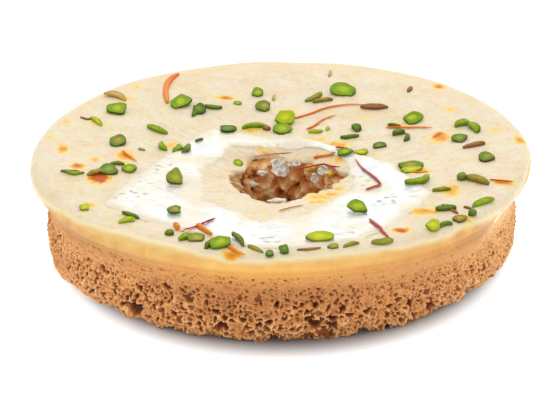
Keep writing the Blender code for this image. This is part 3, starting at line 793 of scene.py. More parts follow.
def cream_grid():
    """Rows of points from under the lip at the hole, over the top and rim, to the skirt and back."""
    draw = np.random.default_rng(SEED + 2)
    angle = np.arange(CREAM_COLUMNS + 1) * TAU / CREAM_COLUMNS
    degrees = np.degrees(angle)
    ragged, finer = (ring_noise(draw, angle, HOLE_RADIUS, cell) for cell in (3.5, 1.6))
    drawn_back = direction_bumps(NOTCHES, degrees) + 0.5 * ragged + 0.15 * finer
    droop = 1.0 + 0.45 * ragged + 0.35 * ring_noise(draw, angle, HOLE_RADIUS, 5.0)

    # The lip and the top, with the lip crumpled and the skin wrinkled near the hole.
    lip = np.array(LIP)
    inner = np.concatenate([lip[:, 0], np.linspace(*CREAM_TOP_RADII, CREAM_TOP_ROWS)])[:, None]
    below = np.concatenate([lip[:, 1], np.zeros(CREAM_TOP_ROWS)])[:, None]
    near_hole = fade(*RAGGED_UP_TO, inner) ** 2
    pulled_in = FAR_LIP_PULLED_IN * np.clip(np.sin(angle), 0.0, 1.0) ** 0.7
    around, down = np.meshgrid(angle * HOLE_RADIUS, 0.5 * np.arange(len(inner)))
    crumple = sum(size * soft_noise(draw, around, down, cell, wall_turn) for cell, size in LIP_CRUMPLES)
    x, y = around_hole(inner + (drawn_back - pulled_in + crumple) * near_hole, angle)
    z = cream_surface(x, y) + below * np.where(below < -0.3, droop, 1.0)

    far, length = np.meshgrid(angle * MEAN_RADIUS, inner[:, 0])
    curds = sum(size * soft_noise(draw, far, length, cell, TURN) for cell, size in CURDS)
    wrinkles = wrinkled(x, y, LIP_WRINKLES)
    near_edge = fade(*WRINKLED_UP_TO, inner)
    z += curds * (below == 0.0) + 0.5 * wrinkles * near_edge * (below > -1.0)

    # The rounded rim, and the skirt that lies thin on the shoulder of the dough.
    rim = np.array(RIM)
    wave = ring_noise(draw, angle, MEAN_RADIUS, 16.0)
    rim_points = turned(rim[:, :1] + 0.4 * wave, rim[:, 1:] + 0.25 * wave, angle)
    edge = SKIRT_EDGE - direction_bumps(RUNS, degrees) + 0.35 * wave
    share = np.linspace(0.0, 1.0, SKIRT_ROWS)[:, None]
    skirt_z = SKIRT_TOP + (edge - SKIRT_TOP) * share
    dough = np.interp(skirt_z, flank_heights[::-1], flank_line[::-1, 0])
    skirt_radius = dough + (SKIRT_THICKNESS + 0.1 * wave) * (1.0 - share ** 4) - 0.5 * share ** 12
    skirt = turned(skirt_radius, skirt_z, angle)
    tuck = turned(skirt_radius[-1:] - 1.2, skirt_z[-1:] + 0.3, angle)

    # The hidden side that closes the skin.
    hidden = np.array(CREAM_HIDDEN)
    hidden_x, hidden_y = around_hole(hidden[:, :1], angle)
    under = places(hidden_x, hidden_y, smooth_top(hidden_x, hidden_y) + hidden[:, 1:])
    top = places(x, y, z)
    grid = drawn_in(np.concatenate([top, rim_points, skirt, tuck, under, top[:1]]))

    # Tones: gold past the rim, peach at the lip and far rim, painted shade in the lip's creases, and the
    # saffron stains.
    gx, gy, gz = grid[..., 0], grid[..., 1], grid[..., 2]
    from_middle = np.hypot(gx, gy)
    blot = soft_noise(draw, np.broadcast_to(angle * MEAN_RADIUS, gx.shape), gz + 0.0 * gx, 3.0, TURN)
    past_rim = np.minimum(from_middle, rim[-1, 0]) - GOLD_RADIUS + np.maximum(0.0, GOLD_HEIGHT - gz)
    cloudy = 0.9 * ring_noise(draw, angle, MEAN_RADIUS, 9.0) + 0.4 * blot
    past_cream = past_rim + cloudy - direction_bumps(GOLD_SHIFTS, degrees)
    gold = smoothstep(*GOLD_SETS_IN, past_cream) * (from_middle > GOLD_OUTSIDE)
    far_rim = smoothstep(0.2, 0.9, np.sin(np.arctan2(gy, gx))) * smoothstep(64.0, 76.0, from_middle)
    reach = np.hypot(gx - HOLE_X, gy - HOLE_Y)
    near_lip = fade(*PEACH_UP_TO, reach)
    towards = (gy - HOLE_Y - 0.8 * (gx - HOLE_X)) / np.maximum(reach, 1.0)
    creases = np.zeros_like(gx)
    creases[:len(inner)] = np.clip(0.45 - wrinkles, 0.0, 1.0)
    # The peach in the creases of the lip's wrinkles is painted shade.
    peach = 0.3 * far_rim + near_lip * (0.12 + 0.2 * towards + 0.36 * creases + 0.22 * blot)
    saffron = np.zeros_like(gx)
    uneven = 1.0 + 0.9 * noise_field(gx, gy, 1.5, 1.9, SEED)
    for *patch, strength in STAINS:
        off = off_middle(gx, gy, *patch) * uneven
        saffron = np.maximum(saffron, strength * np.exp(-off ** 1.4) * (1.0 + 0.35 * blot))
    saffron *= np.maximum(smoothstep(*DYED_ABOVE, gz), from_middle < DYED_INSIDE)
    return grid, gold, np.clip(peach, 0.0, 1.0), saffron


def cream_material():
    """Thickened milk: satin and a little translucent, gold where it is thin, stained by saffron, with a
    painted highlight along its rim and a painted-light white for the drops in the hole.
    """
    material, tree, shader = new_material(
        "rabri", Roughness=0.55, Specular_IOR_Level=0.25, Subsurface_Weight=0.1, Subsurface_Scale=0.002,
    )
    shader.inputs["Subsurface Radius"].default_value = (1.0, 0.7, 0.4)
    patches, grain = speckle(tree, 9.0, 0.9)
    blotches, _ = speckle(tree, 3.2, 0.9)
    curds, _ = speckle(tree, 1.5, 0.9)
    body = ramp(tree, patches, (0.35, 232, 210, 168), (0.5, 236, 220, 188), (0.65, 239, 228, 206))
    warm = ramp(tree, blotches, (0.36, 238, 206, 182), (0.5, 236, 220, 190), (0.64, 236, 222, 166))
    body = mix(tree, 0.5, body, warm)
    curdled = ramp(tree, curds, (0.36, 178, 176, 168), (0.62, 198, 198, 200))
    body = mix(tree, 0.8, body, curdled, "OVERLAY")
    peach, gold, stain = (attribute(tree, name) for name in ("peach", "gold", "saffron"))
    peachy = ramp(tree, peach, (0.3, 242, 216, 174), (0.5, 250, 222, 178), (1, 244, 200, 146))
    body = mix(tree, soon_full(tree, peach, 2.2), body, peachy)
    # Painted highlight: where the cream starts to turn gold at its rim, it is first painted a paler cream.
    body = mix(tree, soon_full(tree, gold, 3.5), body, colour(252, 238, 194))
    # Painted light: the drops in the hole, marked milk, are painted near-white against the hole's shade.
    body = mix(tree, attribute(tree, "milk"), body, colour(255, 248, 232))
    turning = add(tree, "MapRange", {"Value": gold, "From Min": 0.18, "From Max": 0.9}).outputs["Result"]
    body = mix(tree, turning, body, crust_tone(tree))
    dye = ramp(
        tree, stain, (0, 244, 224, 160), (0.35, 250, 212, 104), (0.65, 242, 170, 44), (1, 208, 88, 24),
    )
    tree.links.new(mix(tree, soon_full(tree, stain, 2.6), body, dye), shader.inputs["Base Color"])
    bump(tree, shader, grain, distance=0.1, strength=0.5)
    return material


CREAM = cream_material()
cream, gold, peach, saffron = cream_grid()
bm = shaped_grid(cream, gold=gold, peach=peach, saffron=saffron, **side_tones(cream))
finish("rabri_skin", bm, CREAM, "rabri", "rabri_layer")

# ---------------------------------------------------------------- silver leaf
# Beaten edible silver, far thinner than paper: one sheet laid over the front of the cream, which tore
# away round the hole. It clings to the cream in small sharp wrinkles.
LEAF_OUTER = (
    (-53, -41), (-45, -18), (-36, -2), (-29, 12), (-23, 22), (-14, 19), (-2, 14), (7, 15), (21, 4),
    (36, -10), (47, -35), (39, -48), (33, -59), (23, -69), (6, -74), (-12, -72), (-28, -61), (-41, -53),
)
LEAF_INNER = (
    (-24, -12), (-15, 7), (-2, 8), (13, 7), (21, -4), (22, -16), (21, -27), (12, -41), (8, -47), (-5, -53),
    (-15, -42), (-22, -36),
)
LEAF_X = 1.0
LEAF_Y = -24.0
LEAF_COLUMNS = 620
LEAF_ROWS = 72
LEAF_LIFT = 0.14
LEAF_SUNK = -0.1
LEAF_THICKNESS = 0.06
# Steps along each side of an outline, the radius of the ring on which its tears are drawn, and how
# uneven they make the outer and the inner edge.
EDGE_STEPS = 40
TEAR_RING = 40.0
TEAR_OUTER = 0.7
TEAR_INNER = 0.8
# Wrinkles of the sheet: pairs of span and height.
LEAF_WRINKLES = ((17.0, 0.14), (7.5, 0.15), (3.2, 0.1), (1.6, 0.05))
# Where cream shows through: place, half width, half depth and how much. Then where the leaf is dull
# grey: place, half width and half depth.
VEILED = ((-40, -22, 15, 17, 0.55), (-4, 16, 24, 6, 1.0), (14, -50, 10, 5, 0.3))
GREY_MARKED_PATCHES = (
    (20, -66, 4, 5), (-5, -68, 6, 5), (-44, -32, 5, 10), (-36, -12, 4, 8), (33, -38, 6, 6), (26, -22, 5, 5),
)


def torn_edge(draw, outline, angle, tear):
    """Distance of a torn outline from the leaf's middle, by direction."""
    corners = np.array(outline + outline[:1], float) - (LEAF_X, LEAF_Y)
    share = np.linspace(0.0, 1.0, EDGE_STEPS, endpoint=False)[:, None]
    line = np.concatenate([a + (b - a) * share for a, b in zip(corners, corners[1:])])
    turn = np.arctan2(line[:, 1], line[:, 0]) % TAU
    order = np.argsort(turn)
    distance = np.interp(angle % TAU, turn[order], np.hypot(*line[order].T), period=TAU)
    ragged = ring_noise(draw, angle, TEAR_RING, 6.0) + 0.7 * ring_noise(draw, angle, TEAR_RING, 2.0)
    return distance + tear * ragged


def leaf_grid():
    """The two faces of the sheet as one closed grid, its dull grey marks and where cream shows through."""
    draw = np.random.default_rng(SEED + 3)
    angle = np.arange(LEAF_COLUMNS + 1) * TAU / LEAF_COLUMNS
    outer = torn_edge(draw, LEAF_OUTER, angle, TEAR_OUTER)
    inner = torn_edge(draw, LEAF_INNER, angle, TEAR_INNER)
    outer[-1], inner[-1] = outer[0], inner[0]
    share = np.linspace(0.0, 1.0, LEAF_ROWS)[:, None]
    distance = inner + (outer - inner) * share
    x = LEAF_X + distance * np.cos(angle)
    y = LEAF_Y + distance * np.sin(angle)
    creases = wrinkled(x, y, LEAF_WRINKLES)
    clear = smoothstep(0.0, 0.08, share) * fade(0.92, 1.0, share)
    lift = LEAF_SUNK + (LEAF_LIFT - LEAF_SUNK + np.maximum(0.0, creases)) * clear
    under = cream_surface(x, y)
    upper = places(x, y, under + lift + LEAF_THICKNESS)
    lower = places(x, y, under + lift)
    grid = np.concatenate([upper, lower[::-1], upper[:1]])
    marks = noise_field(x, y, 2.2, 1.4, 3.0)
    patches = noise_field(x, y, 11.0, 11.0, 9.0)
    grey_marked = sum(np.exp(-off_middle(x, y, *patch)) for patch in GREY_MARKED_PATCHES)
    dull = smoothstep(0.22, 0.45, marks) * np.clip(grey_marked + 0.25 * smoothstep(0.1, 0.35, patches), 0.0, 1.0)
    clear_of_hole = smoothstep(0.0, 0.3, share + 0.1 * patches)
    faded = 1.0 - clear_of_hole * fade(0.8, 1.0, share + 0.08 * patches)
    veiled = sum(amount * np.exp(-off_middle(x, y, *patch)) for *patch, amount in VEILED)
    thin = np.clip(0.7 * smoothstep(-0.05, 0.4, -patches) + veiled + faded, 0.0, 1.0)
    dull, thin = (np.concatenate([field, field[::-1], field[:1]]) for field in (dull, thin))
    return grid, dull, thin


def silver_material():
    """Silver leaf: bright and soft, with dull grey marks, and cream showing where it is thinnest; the
    shreds in the hole are given that cream tone as painted light.
    """
    material, tree, shader = new_material("silver_leaf", Roughness=0.42)
    patches, grain = speckle(tree, 5.0, 0.8)
    bright = ramp(tree, patches, (0.35, 204, 206, 202), (0.65, 226, 227, 225))
    thin = attribute(tree, "thin")
    bright = mix(tree, thin, bright, colour(238, 226, 200))
    silver = mix(tree, attribute(tree, "dull"), bright, colour(150, 150, 148))
    whole = math_node(tree, "MULTIPLY", math_node(tree, "SUBTRACT", 1.0, thin), 0.6)
    tree.links.new(whole, shader.inputs["Metallic"])
    tree.links.new(silver, shader.inputs["Base Color"])
    bump(tree, shader, grain, distance=0.15, strength=0.5)
    return material


SILVER = silver_material()
leaf, dull, thin = leaf_grid()
finish("silver_leaf_sheet", shaped_grid(leaf, dull=dull, thin=thin), SILVER, "silver_leaf", "silver_leaf")

# Shreds of the leaf that fell into the hole: middle, width, height and turn in degrees.
SHREDS = (
    ((0.2, 0.2, 23.4), 5.6, 6, 10), ((14, -4.6, 24.4), 4.4, 3, -34), ((11, -4.8, 21.6), 2.6, 3, -24),
    ((5, 1.2, 24.2), 3, 2, -10),
)
SHRED_STAND = math.radians(36)


def thicken(bm, drawn_out):
    """Give an open sheet a second face and a rim, by drawing its faces out."""
    grown = bmesh.ops.extrude_face_region(bm, geom=list(bm.faces))["geom"]
    far_side = [item for item in grown if isinstance(item, bmesh.types.BMVert)]
    bmesh.ops.translate(bm, verts=far_side, vec=drawn_out)


def silver_shred(pick, middle, width, height, turn):
    """A torn and crumpled bit of leaf that leans on the far wall of the hole."""
    bm = bmesh.new()
    bmesh.ops.create_grid(bm, x_segments=12, y_segments=12, size=0.5)
    offset = Vector((pick.uniform(0, 50), pick.uniform(0, 50), 0.0))
    dull, thin = (bm.verts.layers.float.new(name) for name in ("dull", "thin"))
    for vert in bm.verts:
        vert.co.x *= width * (1.0 - 0.5 * abs(2.0 * vert.co.y) ** 2)
        vert.co.y *= height
        coarse = noise.noise_vector(vert.co / 1.9 + offset)
        fine = noise.noise_vector(vert.co / 0.8 + offset)
        vert.co += coarse * 0.9 + fine * 0.5 + Vector((0.0, 0.0, 1.4 * abs(coarse.x) + 0.9 * abs(fine.y)))
        vert[dull] = 0.7 * float(smoothstep(0.05, 0.4, fine.z))
        # Painted light: a partly cream, less metallic tone keeps the shreds bright in the shade of the
        # hole.
        vert[thin] = 0.7
    bmesh.ops.rotate(bm, verts=bm.verts, matrix=Matrix.Rotation(SHRED_STAND, 3, "X"))
    bmesh.ops.rotate(bm, verts=bm.verts, matrix=Matrix.Rotation(math.radians(turn), 3, "Z"))
    bmesh.ops.translate(bm, verts=bm.verts, vec=middle)
    thicken(bm, (0.0, LEAF_THICKNESS, -LEAF_THICKNESS))
    return bm


def gathered(parts, *layers, kind="float"):
    """Small finished pieces of one kind in one mesh, which carries the named values at its points."""
    whole = bmesh.new()
    for name in layers:
        getattr(whole.verts.layers, kind).new(name)
    for part in parts:
        bmesh.ops.recalc_face_normals(part, faces=part.faces)
        mesh = bpy.data.meshes.new("part")
        part.to_mesh(mesh)
        part.free()
        whole.from_mesh(mesh)
        bpy.data.meshes.remove(mesh)
    return whole


# Vector noise differs from run to run until it has a seed.
noise.seed_set(SEED)
pick = random.Random(SEED + 6)
shreds = gathered((silver_shred(pick, *shred) for shred in SHREDS), "dull", "thin")
finish("silver_shreds", shreds, SILVER, "silver_leaf", crisp=True)

# ---------------------------------------------------------------- cream drops
# Small drops of the rabri that ran over the lip and cling to the folds inside the hole, two of them
# dyed yellow by saffron. For each: its middle, length, height and how strongly saffron dyes it.
DROPS = (
    ((-8.6, -1.8, 18.8), 2.8, 2.4, 0), ((-5.6, -0.2, 21.9), 3, 2.2, 0), ((-0.8, -34.2, 27.9), 5.4, 1.6, 0),
    ((9.6, -0.6, 23.6), 3.2, 2.2, 0.4), ((3, 1.6, 23.6), 2.2, 1.4, 0), ((-1.6, 2.6, 24.6), 2.6, 1.3, 0),
    ((16.2, -6.2, 24.2), 2, 2.6, 0.45),
)


def cream_drop(middle, length, height, dyed):
    """A lumpy round drop."""
    bm = bmesh.new()
    bmesh.ops.create_icosphere(bm, subdivisions=3, radius=0.5)
    saffron, milk = (bm.verts.layers.float.new(name) for name in ("saffron", "milk"))
    for vert in bm.verts:
        lumps = 0.7 * noise.noise(vert.co * 2.2 + Vector(middle))
        vert.co *= 1.0 + lumps + 0.4 * noise.noise(vert.co * 5.0)
        vert[saffron] = dyed
        # Marked to be painted whiter than the cream, as painted light against the shade in the hole.
        vert[milk] = 1.0
    bmesh.ops.scale(bm, verts=bm.verts, vec=(length, 0.9 * height, 0.8 * height))
    bmesh.ops.translate(bm, verts=bm.verts, vec=middle)
    return bm


cream_drops = gathered((cream_drop(*drop) for drop in DROPS), "saffron", "milk")
finish("rabri_drops", cream_drops, CREAM, "rabri")

# ---------------------------------------------------------------- pistachio
# Green pistachios cut across into slices, or lengthwise into slivers, and strewn over the top. Each
# keeps a thin darker skin round its flesh, and lies sunk a little in the cream or on the silver.
SLICE_SEGMENTS = 26
SLICE_BEVEL = 0.08
# Each ring of the cut face, by its size within the last one.
SLICE_RINGS = (0.92, 0.86, 0.75, 0.5)
SLIVER_CUTS = 8
SLIVER_BEVEL = 0.2
# Unevenness of what is cut: amount and span.
SLICE_UNEVEN = (0.14, 2.2)
SLIVER_UNEVEN = (0.2, 1.8)
SUNK = 0.25
# All nuts slid a little towards the front as they were strewn, and lie higher where there is leaf.
SLID = 1.2
ON_LEAF = 0.55
# Tones: middle of the cut face, flesh and skin.
TONES = {
    "bright": ((196, 208, 44), (136, 172, 14), (74, 96, 12)),
    "lime": ((222, 222, 40), (184, 200, 14), (112, 130, 14)),
    "olive": ((188, 180, 70), (148, 156, 36), (86, 90, 24)),
    "deep": ((140, 162, 54), (96, 128, 26), (52, 68, 18)),
    "purple": ((160, 172, 70), (112, 142, 36), (92, 56, 52)),
    "ring": ((206, 158, 96), (124, 152, 28), (60, 78, 18)),
    "brown": ((196, 146, 82), (160, 106, 56), (92, 56, 38)),
    "tan": ((232, 204, 132), (214, 176, 98), (148, 106, 56)),
    "amber": ((222, 172, 58), (152, 140, 44), (92, 74, 44)),
}
# Slices: place, length, width, thickness, turn and lean towards the front in degrees, how far the
# back of the outline is drawn out (above 0) or notched (below 0), and tone.
SLICES = (
    (-54, 34, 7.2, 6.6, 1, -12, 16, 0, "bright"), (-52, 8, 5.8, 5.8, 0.9, 20, 18, 0, "ring"),
    (-33, 41, 8, 6.4, 0.9, 32, 18, 0.1, "bright"), (-27, 37, 4.8, 5, 0.8, 30, 23, -0.3, "deep"),
    (-7, 50, 4.4, 4.4, 0.8, 15, 16, 0.15, "bright"), (-5, 39, 5.6, 5.6, 0.8, -20, 18, 0, "ring"),
    (-14, 43, 2.8, 2.6, 0.6, 0, 11, 0, "bright"), (-17, 21, 6.2, 4, 0.8, 10, 11, -0.25, "deep"),
    (2, 29, 7, 6.8, 1, 10, 26, 0, "lime"), (1, 21, 6.6, 5.4, 0.8, -8, 18, 0, "bright"),
    (-13, 0, 3.4, 3.4, 0.6, 0, 16, 0, "bright"), (-32, -22, 5.8, 6, 0.9, -8, 26, 0.5, "olive"),
    (-31, -47, 4, 4.6, 0.8, -90, 18, -0.5, "ring"), (-53, -15, 6.4, 5.4, 1, 10, 14, 0, "purple"),
    (-47, -13, 5, 4, 0.9, 10, 16, 0, "bright"), (-58, -44, 3, 3.8, 0.6, 20, 14, -0.35, "lime"),
    (-24, -66, 5.6, 3.8, 0.8, -20, 16, 0, "olive"), (-17, -70, 6.4, 5, 1, 14, 21, 0.15, "bright"),
    (1, -74, 3.4, 3.6, 0.8, 10, 23, 0, "deep"), (22, 50, 9.4, 6.8, 0.9, -14, 16, 0, "bright"),
    (44, 25, 7.8, 5, 0.8, 14, 23, 0, "bright"), (32, 6, 5.2, 3, 0.7, 8, 11, 0.25, "deep"),
    (58, 7, 5.6, 4.4, 0.8, 8, 14, 0, "purple"), (65, -10, 5.4, 5.2, 0.9, 0, 14, 0, "purple"),
    (41, -12, 8, 4.4, 0.8, -6, 16, 0, "ring"), (41, -15, 7.6, 3.8, 0.8, 6, 11, 0, "lime"),
    (23, -46, 6.8, 5.4, 0.9, -26, 23, 0, "bright"), (44, -60, 4.8, 4.4, 0.8, 16, 23, 0, "lime"),
    (52.2, -55, 4.6, 3.2, 0.8, 30, 14, 0, "amber"), (11, -67, 8.6, 4.4, 0.8, -2, 16, 0, "lime"),
    (15, -72, 3.2, 2.6, 0.7, 20, 14, 0, "olive"), (26, 2, 5, 3, 0.7, 10, 14, 0, "lime"),
    (21, 2, 5, 3.2, 0.8, 6, 16, 0, "bright"), (-3, -76, 2.8, 2.4, 0.6, 0, 11, 0.3, "deep"),
    (-44, -52, 3.4, 2.6, 0.6, -30, 14, 0, "lime"),
)
# Slivers and curls: place, length, width, thickness, turn, lean, how far the middle bows to the back,
# and tone.
SLIVERS = (
    (-55.6, 45, 8.8, 2.6, 1.3, -30, 10, 1.4, "tan"), (-63.4, 27.8, 5, 0.9, 1, 0, 4, -1.6, "brown"),
    (-60.2, 24, 7.4, 1.9, 1.2, -58, 4, 0.4, "lime"), (-63.4, -17, 5.8, 1.2, 1.3, 0, 4, -1.2, "bright"),
    (-40, 20, 8, 2.2, 1.6, -34, 6, 0, "bright"), (-22, 40, 6, 1.8, 1.3, -10, 6, -0.8, "deep"),
    (-28, 34, 3.4, 1.4, 1.3, 60, 6, 0.4, "deep"), (-37, 7, 5.4, 1.9, 1.7, -68, 6, -1, "bright"),
    (-33, 6, 5, 2.2, 1.7, 66, 6, -0.8, "bright"), (-30, 5, 5.4, 2, 1.6, 66, 8, -0.5, "purple"),
    (-8, 24, 8.6, 1.6, 1.5, 8, 6, 1.1, "bright"), (-4, 23, 2.6, 2, 1.4, -10, 4, 0, "brown"),
    (-51, -9, 4.6, 1.2, 1.2, 4, 4, 0.4, "purple"), (-57, -17, 6, 1.8, 1.5, 38, 6, 0.3, "amber"),
    (-65, -16, 6, 1.2, 1.1, 4, 3, -0.6, "deep"), (-44, -49, 6.2, 1.2, 1.2, -34, 4, 0, "deep"),
    (-45, -53, 4.8, 1.6, 1.3, 30, 4, 0, "lime"), (-32, -62, 2.6, 2.2, 1.4, 10, 6, 0, "deep"),
    (-27, -65, 4.6, 1.8, 1.5, 30, 8, 0.5, "bright"), (-20, -70, 4.8, 1.4, 1.6, 58, 6, 0.3, "deep"),
    (-12, -68, 6.8, 1.5, 1.7, -62, 10, 0.5, "purple"), (-7, -73, 5.6, 1.1, 1.1, -42, 6, 0, "olive"),
    (8, -73, 7, 0.8, 0.9, 10, 4, -0.5, "brown"), (12, 47, 7.6, 2, 1.5, 42, 6, -0.4, "olive"),
    (15, 44, 7, 1.6, 1.4, 12, 6, 0.3, "amber"), (32, 37, 9.4, 2.2, 1.6, -6, 6, 0, "brown"),
    (38, 22, 4.6, 1.1, 1.2, -28, 6, 0, "deep"), (39, 15, 4.2, 2.2, 1.7, 8, 6, 0.6, "deep"),
    (41, 11, 4.6, 1.6, 1.6, 76, 6, -0.6, "deep"), (25, 21, 4.2, 2.6, 1.7, -62, 10, 0.8, "deep"),
    (23, 15, 6.4, 1.3, 1.4, 12, 4, -0.7, "deep"), (60, 18, 5.6, 2.4, 1.8, 12, 8, 0.9, "bright"),
    (63, 14, 6.2, 2.6, 1.9, -70, 8, 0.9, "bright"), (62, 1, 7.6, 1.7, 1.5, 18, 6, 0, "brown"),
    (42, -25, 7.6, 2.2, 1.6, 10, 8, -0.9, "bright"), (45, -23, 3.6, 1.8, 1.7, 60, 8, 0, "bright"),
    (49, -32, 5.6, 1.4, 1.3, 8, 6, 0, "olive"), (55.8, -24.6, 3, 2.6, 2.2, 0, 8, 0, "purple"),
    (60.2, -27.4, 8.4, 2.6, 1.8, -40, 6, 0.4, "amber"), (49, -47, 6.2, 2.2, 1.6, 6, 6, -0.5, "deep"),
    (60.2, -44, 8.2, 2, 1.6, 34, 6, 0.4, "bright"), (55.6, -47, 3.2, 0.7, 0.9, -38, 4, 0, "brown"),
    (48, -59, 4.4, 1.2, 1.4, 28, 6, 0.8, "deep"), (51, -49, 4, 0.9, 1, -52, 4, 0, "brown"),
    (56.4, -51.4, 2.8, 2, 1.8, 30, 6, 0.2, "deep"), (29, -69, 6.4, 2, 1.4, 14, 8, -0.4, "olive"),
    (20, -71, 5.2, 1.1, 1.2, 24, 6, 0.3, "olive"), (-1.5, 47, 4.4, 1, 1, 84, 4, 0.2, "tan"),
    (18, 66, 5, 0.9, 0.9, 80, 4, 0, "tan"), (45, 50, 4, 1.3, 1.1, 66, 4, 0.2, "brown"),
    (12, 20, 4.8, 1.4, 1.3, 6, 6, -0.3, "lime"), (16, 22, 2.8, 1.4, 1.2, 76, 6, 0, "lime"),
    (-26, 13, 3, 0.8, 0.8, 30, 4, 0, "deep"), (-44, 4, 2.4, 0.9, 0.9, -20, 4, 0, "olive"),
)

leaf_turns = np.linspace(0.0, TAU, 181)
leaf_draw = np.random.default_rng(SEED + 4)
leaf_reach = [torn_edge(leaf_draw, outline, leaf_turns, 0.0) for outline in (LEAF_OUTER, LEAF_INNER)]


def over_leaf(x, y):
    """Whether a place on top is covered by the silver leaf."""
    turn = math.atan2(y - LEAF_Y, x - LEAF_X) % TAU
    outer, inner = (np.interp(turn, leaf_turns, reach) for reach in leaf_reach)
    return inner < math.hypot(x - LEAF_X, y - LEAF_Y) < outer


def top_at(x, y):
    """Height of what a topping at this place lies on."""
    return float(cream_surface(x, y)[0]) + (ON_LEAF if over_leaf(x, y) else 0.0)


def lay(bm, x, y, turn, lean, width):
    """Move a topping from the origin to its place on top, turned and leaning on the slope there."""
    step = 2.0
    slope_x = (smooth_top(x + step, y) - smooth_top(x - step, y)) / (2 * step)
    slope_y = (smooth_top(x, y + step) - smooth_top(x, y - step)) / (2 * step)
    slope = Vector((0, 0, 1)).rotation_difference(Vector((-slope_x, -slope_y, 1.0))).to_matrix()
    tip = Matrix.Rotation(math.radians(lean), 3, "X")
    rotation = slope @ tip @ Matrix.Rotation(math.radians(turn), 3, "Z")
    raised = 0.5 * width * math.sin(math.radians(lean)) - SUNK
    bmesh.ops.rotate(bm, verts=bm.verts, matrix=rotation)
    bmesh.ops.translate(bm, verts=bm.verts, vec=(x, y - SLID, top_at(x, y - SLID) + raised))


def blend(first, second, share):
    return tuple(a + (b - a) * share for a, b in zip(first, second))


def edges_along(bm, axis, longer):
    """Edges that run further than this along an axis."""
    return [edge for edge in bm.edges if abs(edge.verts[0].co[axis] - edge.verts[1].co[axis]) > longer]


def round_off(bm, edges, offset):
    """Bevel edges once."""
    bmesh.ops.bevel(bm, geom=edges, offset=offset, affect="EDGES", segments=1, profile=0.5, material=-1)


def roughen(bm, pick, amount, span):
    """Give cut faces and edges the small unevenness of a knife's work."""
    offset = Vector((pick.uniform(0, 50), pick.uniform(0, 50), 0))
    for vert in bm.verts:
        vert.co += amount * noise.noise_vector(vert.co / span + offset)


def pistachio_slice(pick, length, width, thickness, drawn, tone):
    """A cut slice: an uneven rounded disc with a skin round its rim and a paler middle."""
    bm = bmesh.new()
    ring = bmesh.ops.create_circle(bm, cap_ends=True, segments=SLICE_SEGMENTS, radius=0.5)["verts"]
    lobes = [(turns, pick.uniform(-0.05, 0.05), pick.uniform(0, TAU)) for turns in (2, 3, 4)]
    cuts = [(pick.uniform(0, TAU), pick.uniform(0.7, 0.95)) for _ in range(4)]
    for vert in ring:
        turn = math.atan2(vert.co.y, vert.co.x)
        reach = 1.0 + sum(size * math.sin(turns * turn + phase) for turns, size, phase in lobes)
        reach += drawn * math.exp(-(((turn - math.pi / 2) / 0.45) ** 2))
        for direction, distance in cuts:
            reach = min(reach, distance / max(0.2, math.cos(turn - direction)))
        vert.co.x *= reach * length
        vert.co.y *= reach * width
    thicken(bm, (0, 0, thickness))
    bmesh.ops.recalc_face_normals(bm, faces=bm.faces)
    rim_highlights = [edge for edge in bm.edges if abs(edge.verts[0].co.z - edge.verts[1].co.z) < 0.01]
    round_off(bm, rim_highlights, SLICE_BEVEL)
    face = max(bm.faces, key=lambda f: f.calc_center_median().z + 0.001 * f.calc_area())
    for ratio in SLICE_RINGS:
        bmesh.ops.inset_individual(bm, faces=[face], thickness=0.001)
        bmesh.ops.scale(bm, verts=face.verts, vec=(ratio, ratio, 1.0))
    bmesh.ops.poke(bm, faces=[face])
    middle, flesh, skin = (colour(*shade) for shade in TONES[tone])
    tint = bm.verts.layers.float_color.new("tint")
    side = pick.uniform(0, TAU)
    rim = dict.fromkeys(range(-13, 14), 0.1)
    for vert in bm.verts:
        direction = round(math.atan2(vert.co.y, vert.co.x) * 4)
        rim[direction] = max(rim[direction], 2.0 * math.hypot(vert.co.x / length, vert.co.y / width))
    for vert in bm.verts:
        out = math.hypot(vert.co.x / length, vert.co.y / width) * 2.0
        turn = math.atan2(vert.co.y, vert.co.x)
        inner = blend(middle, flesh, float(smoothstep(0.15, 0.6, out)))
        skinned = float(smoothstep(0.87, 0.97, out / rim[round(turn * 4)]))
        skinned *= 0.7 + 0.3 * math.cos(turn - side)
        if vert.co.z < 0.6 * thickness:
            skinned = 0.8
        vert[tint] = blend(inner, skin, skinned)
    roughen(bm, pick, *SLICE_UNEVEN)
    return bm


def pistachio_sliver(pick, length, width, thickness, bow, tone):
    """A long cut: a strip with rounded edges, pointed ends and one skin side, straight or bowed."""
    bm = bmesh.new()
    bmesh.ops.create_cube(bm, size=1.0)
    bmesh.ops.subdivide_edges(bm, edges=edges_along(bm, 0, 0.5), cuts=SLIVER_CUTS, use_grid_fill=True)
    round_off(bm, edges_along(bm, 0, 0.05), SLIVER_BEVEL)
    middle, flesh, skin = (colour(*shade) for shade in TONES[tone])
    tint = bm.verts.layers.float_color.new("tint")
    blunt = pick.uniform(0.45, 0.8), pick.uniform(0.6, 0.95)
    for vert in bm.verts:
        run = 2.0 * vert.co.x
        skinned = float(smoothstep(0.1, 0.5, vert.co.y)) * 0.9
        top = float(smoothstep(0.0, 0.5, vert.co.z))
        cut_face = blend(flesh, middle, 0.5 * top * (1 - abs(run)))
        vert[tint] = blend(cut_face, skin, max(skinned, 0.6 * (1 - top)))
        taper = 1.0 - (blunt[0] if run < 0 else blunt[1]) * abs(run) ** 3
        vert.co.x *= length
        vert.co.y = vert.co.y * width * taper + bow * (1.0 - run * run)
        vert.co.z = (vert.co.z + 0.5) * thickness * (0.55 + 0.45 * taper)
    roughen(bm, pick, *SLIVER_UNEVEN)
    return bm


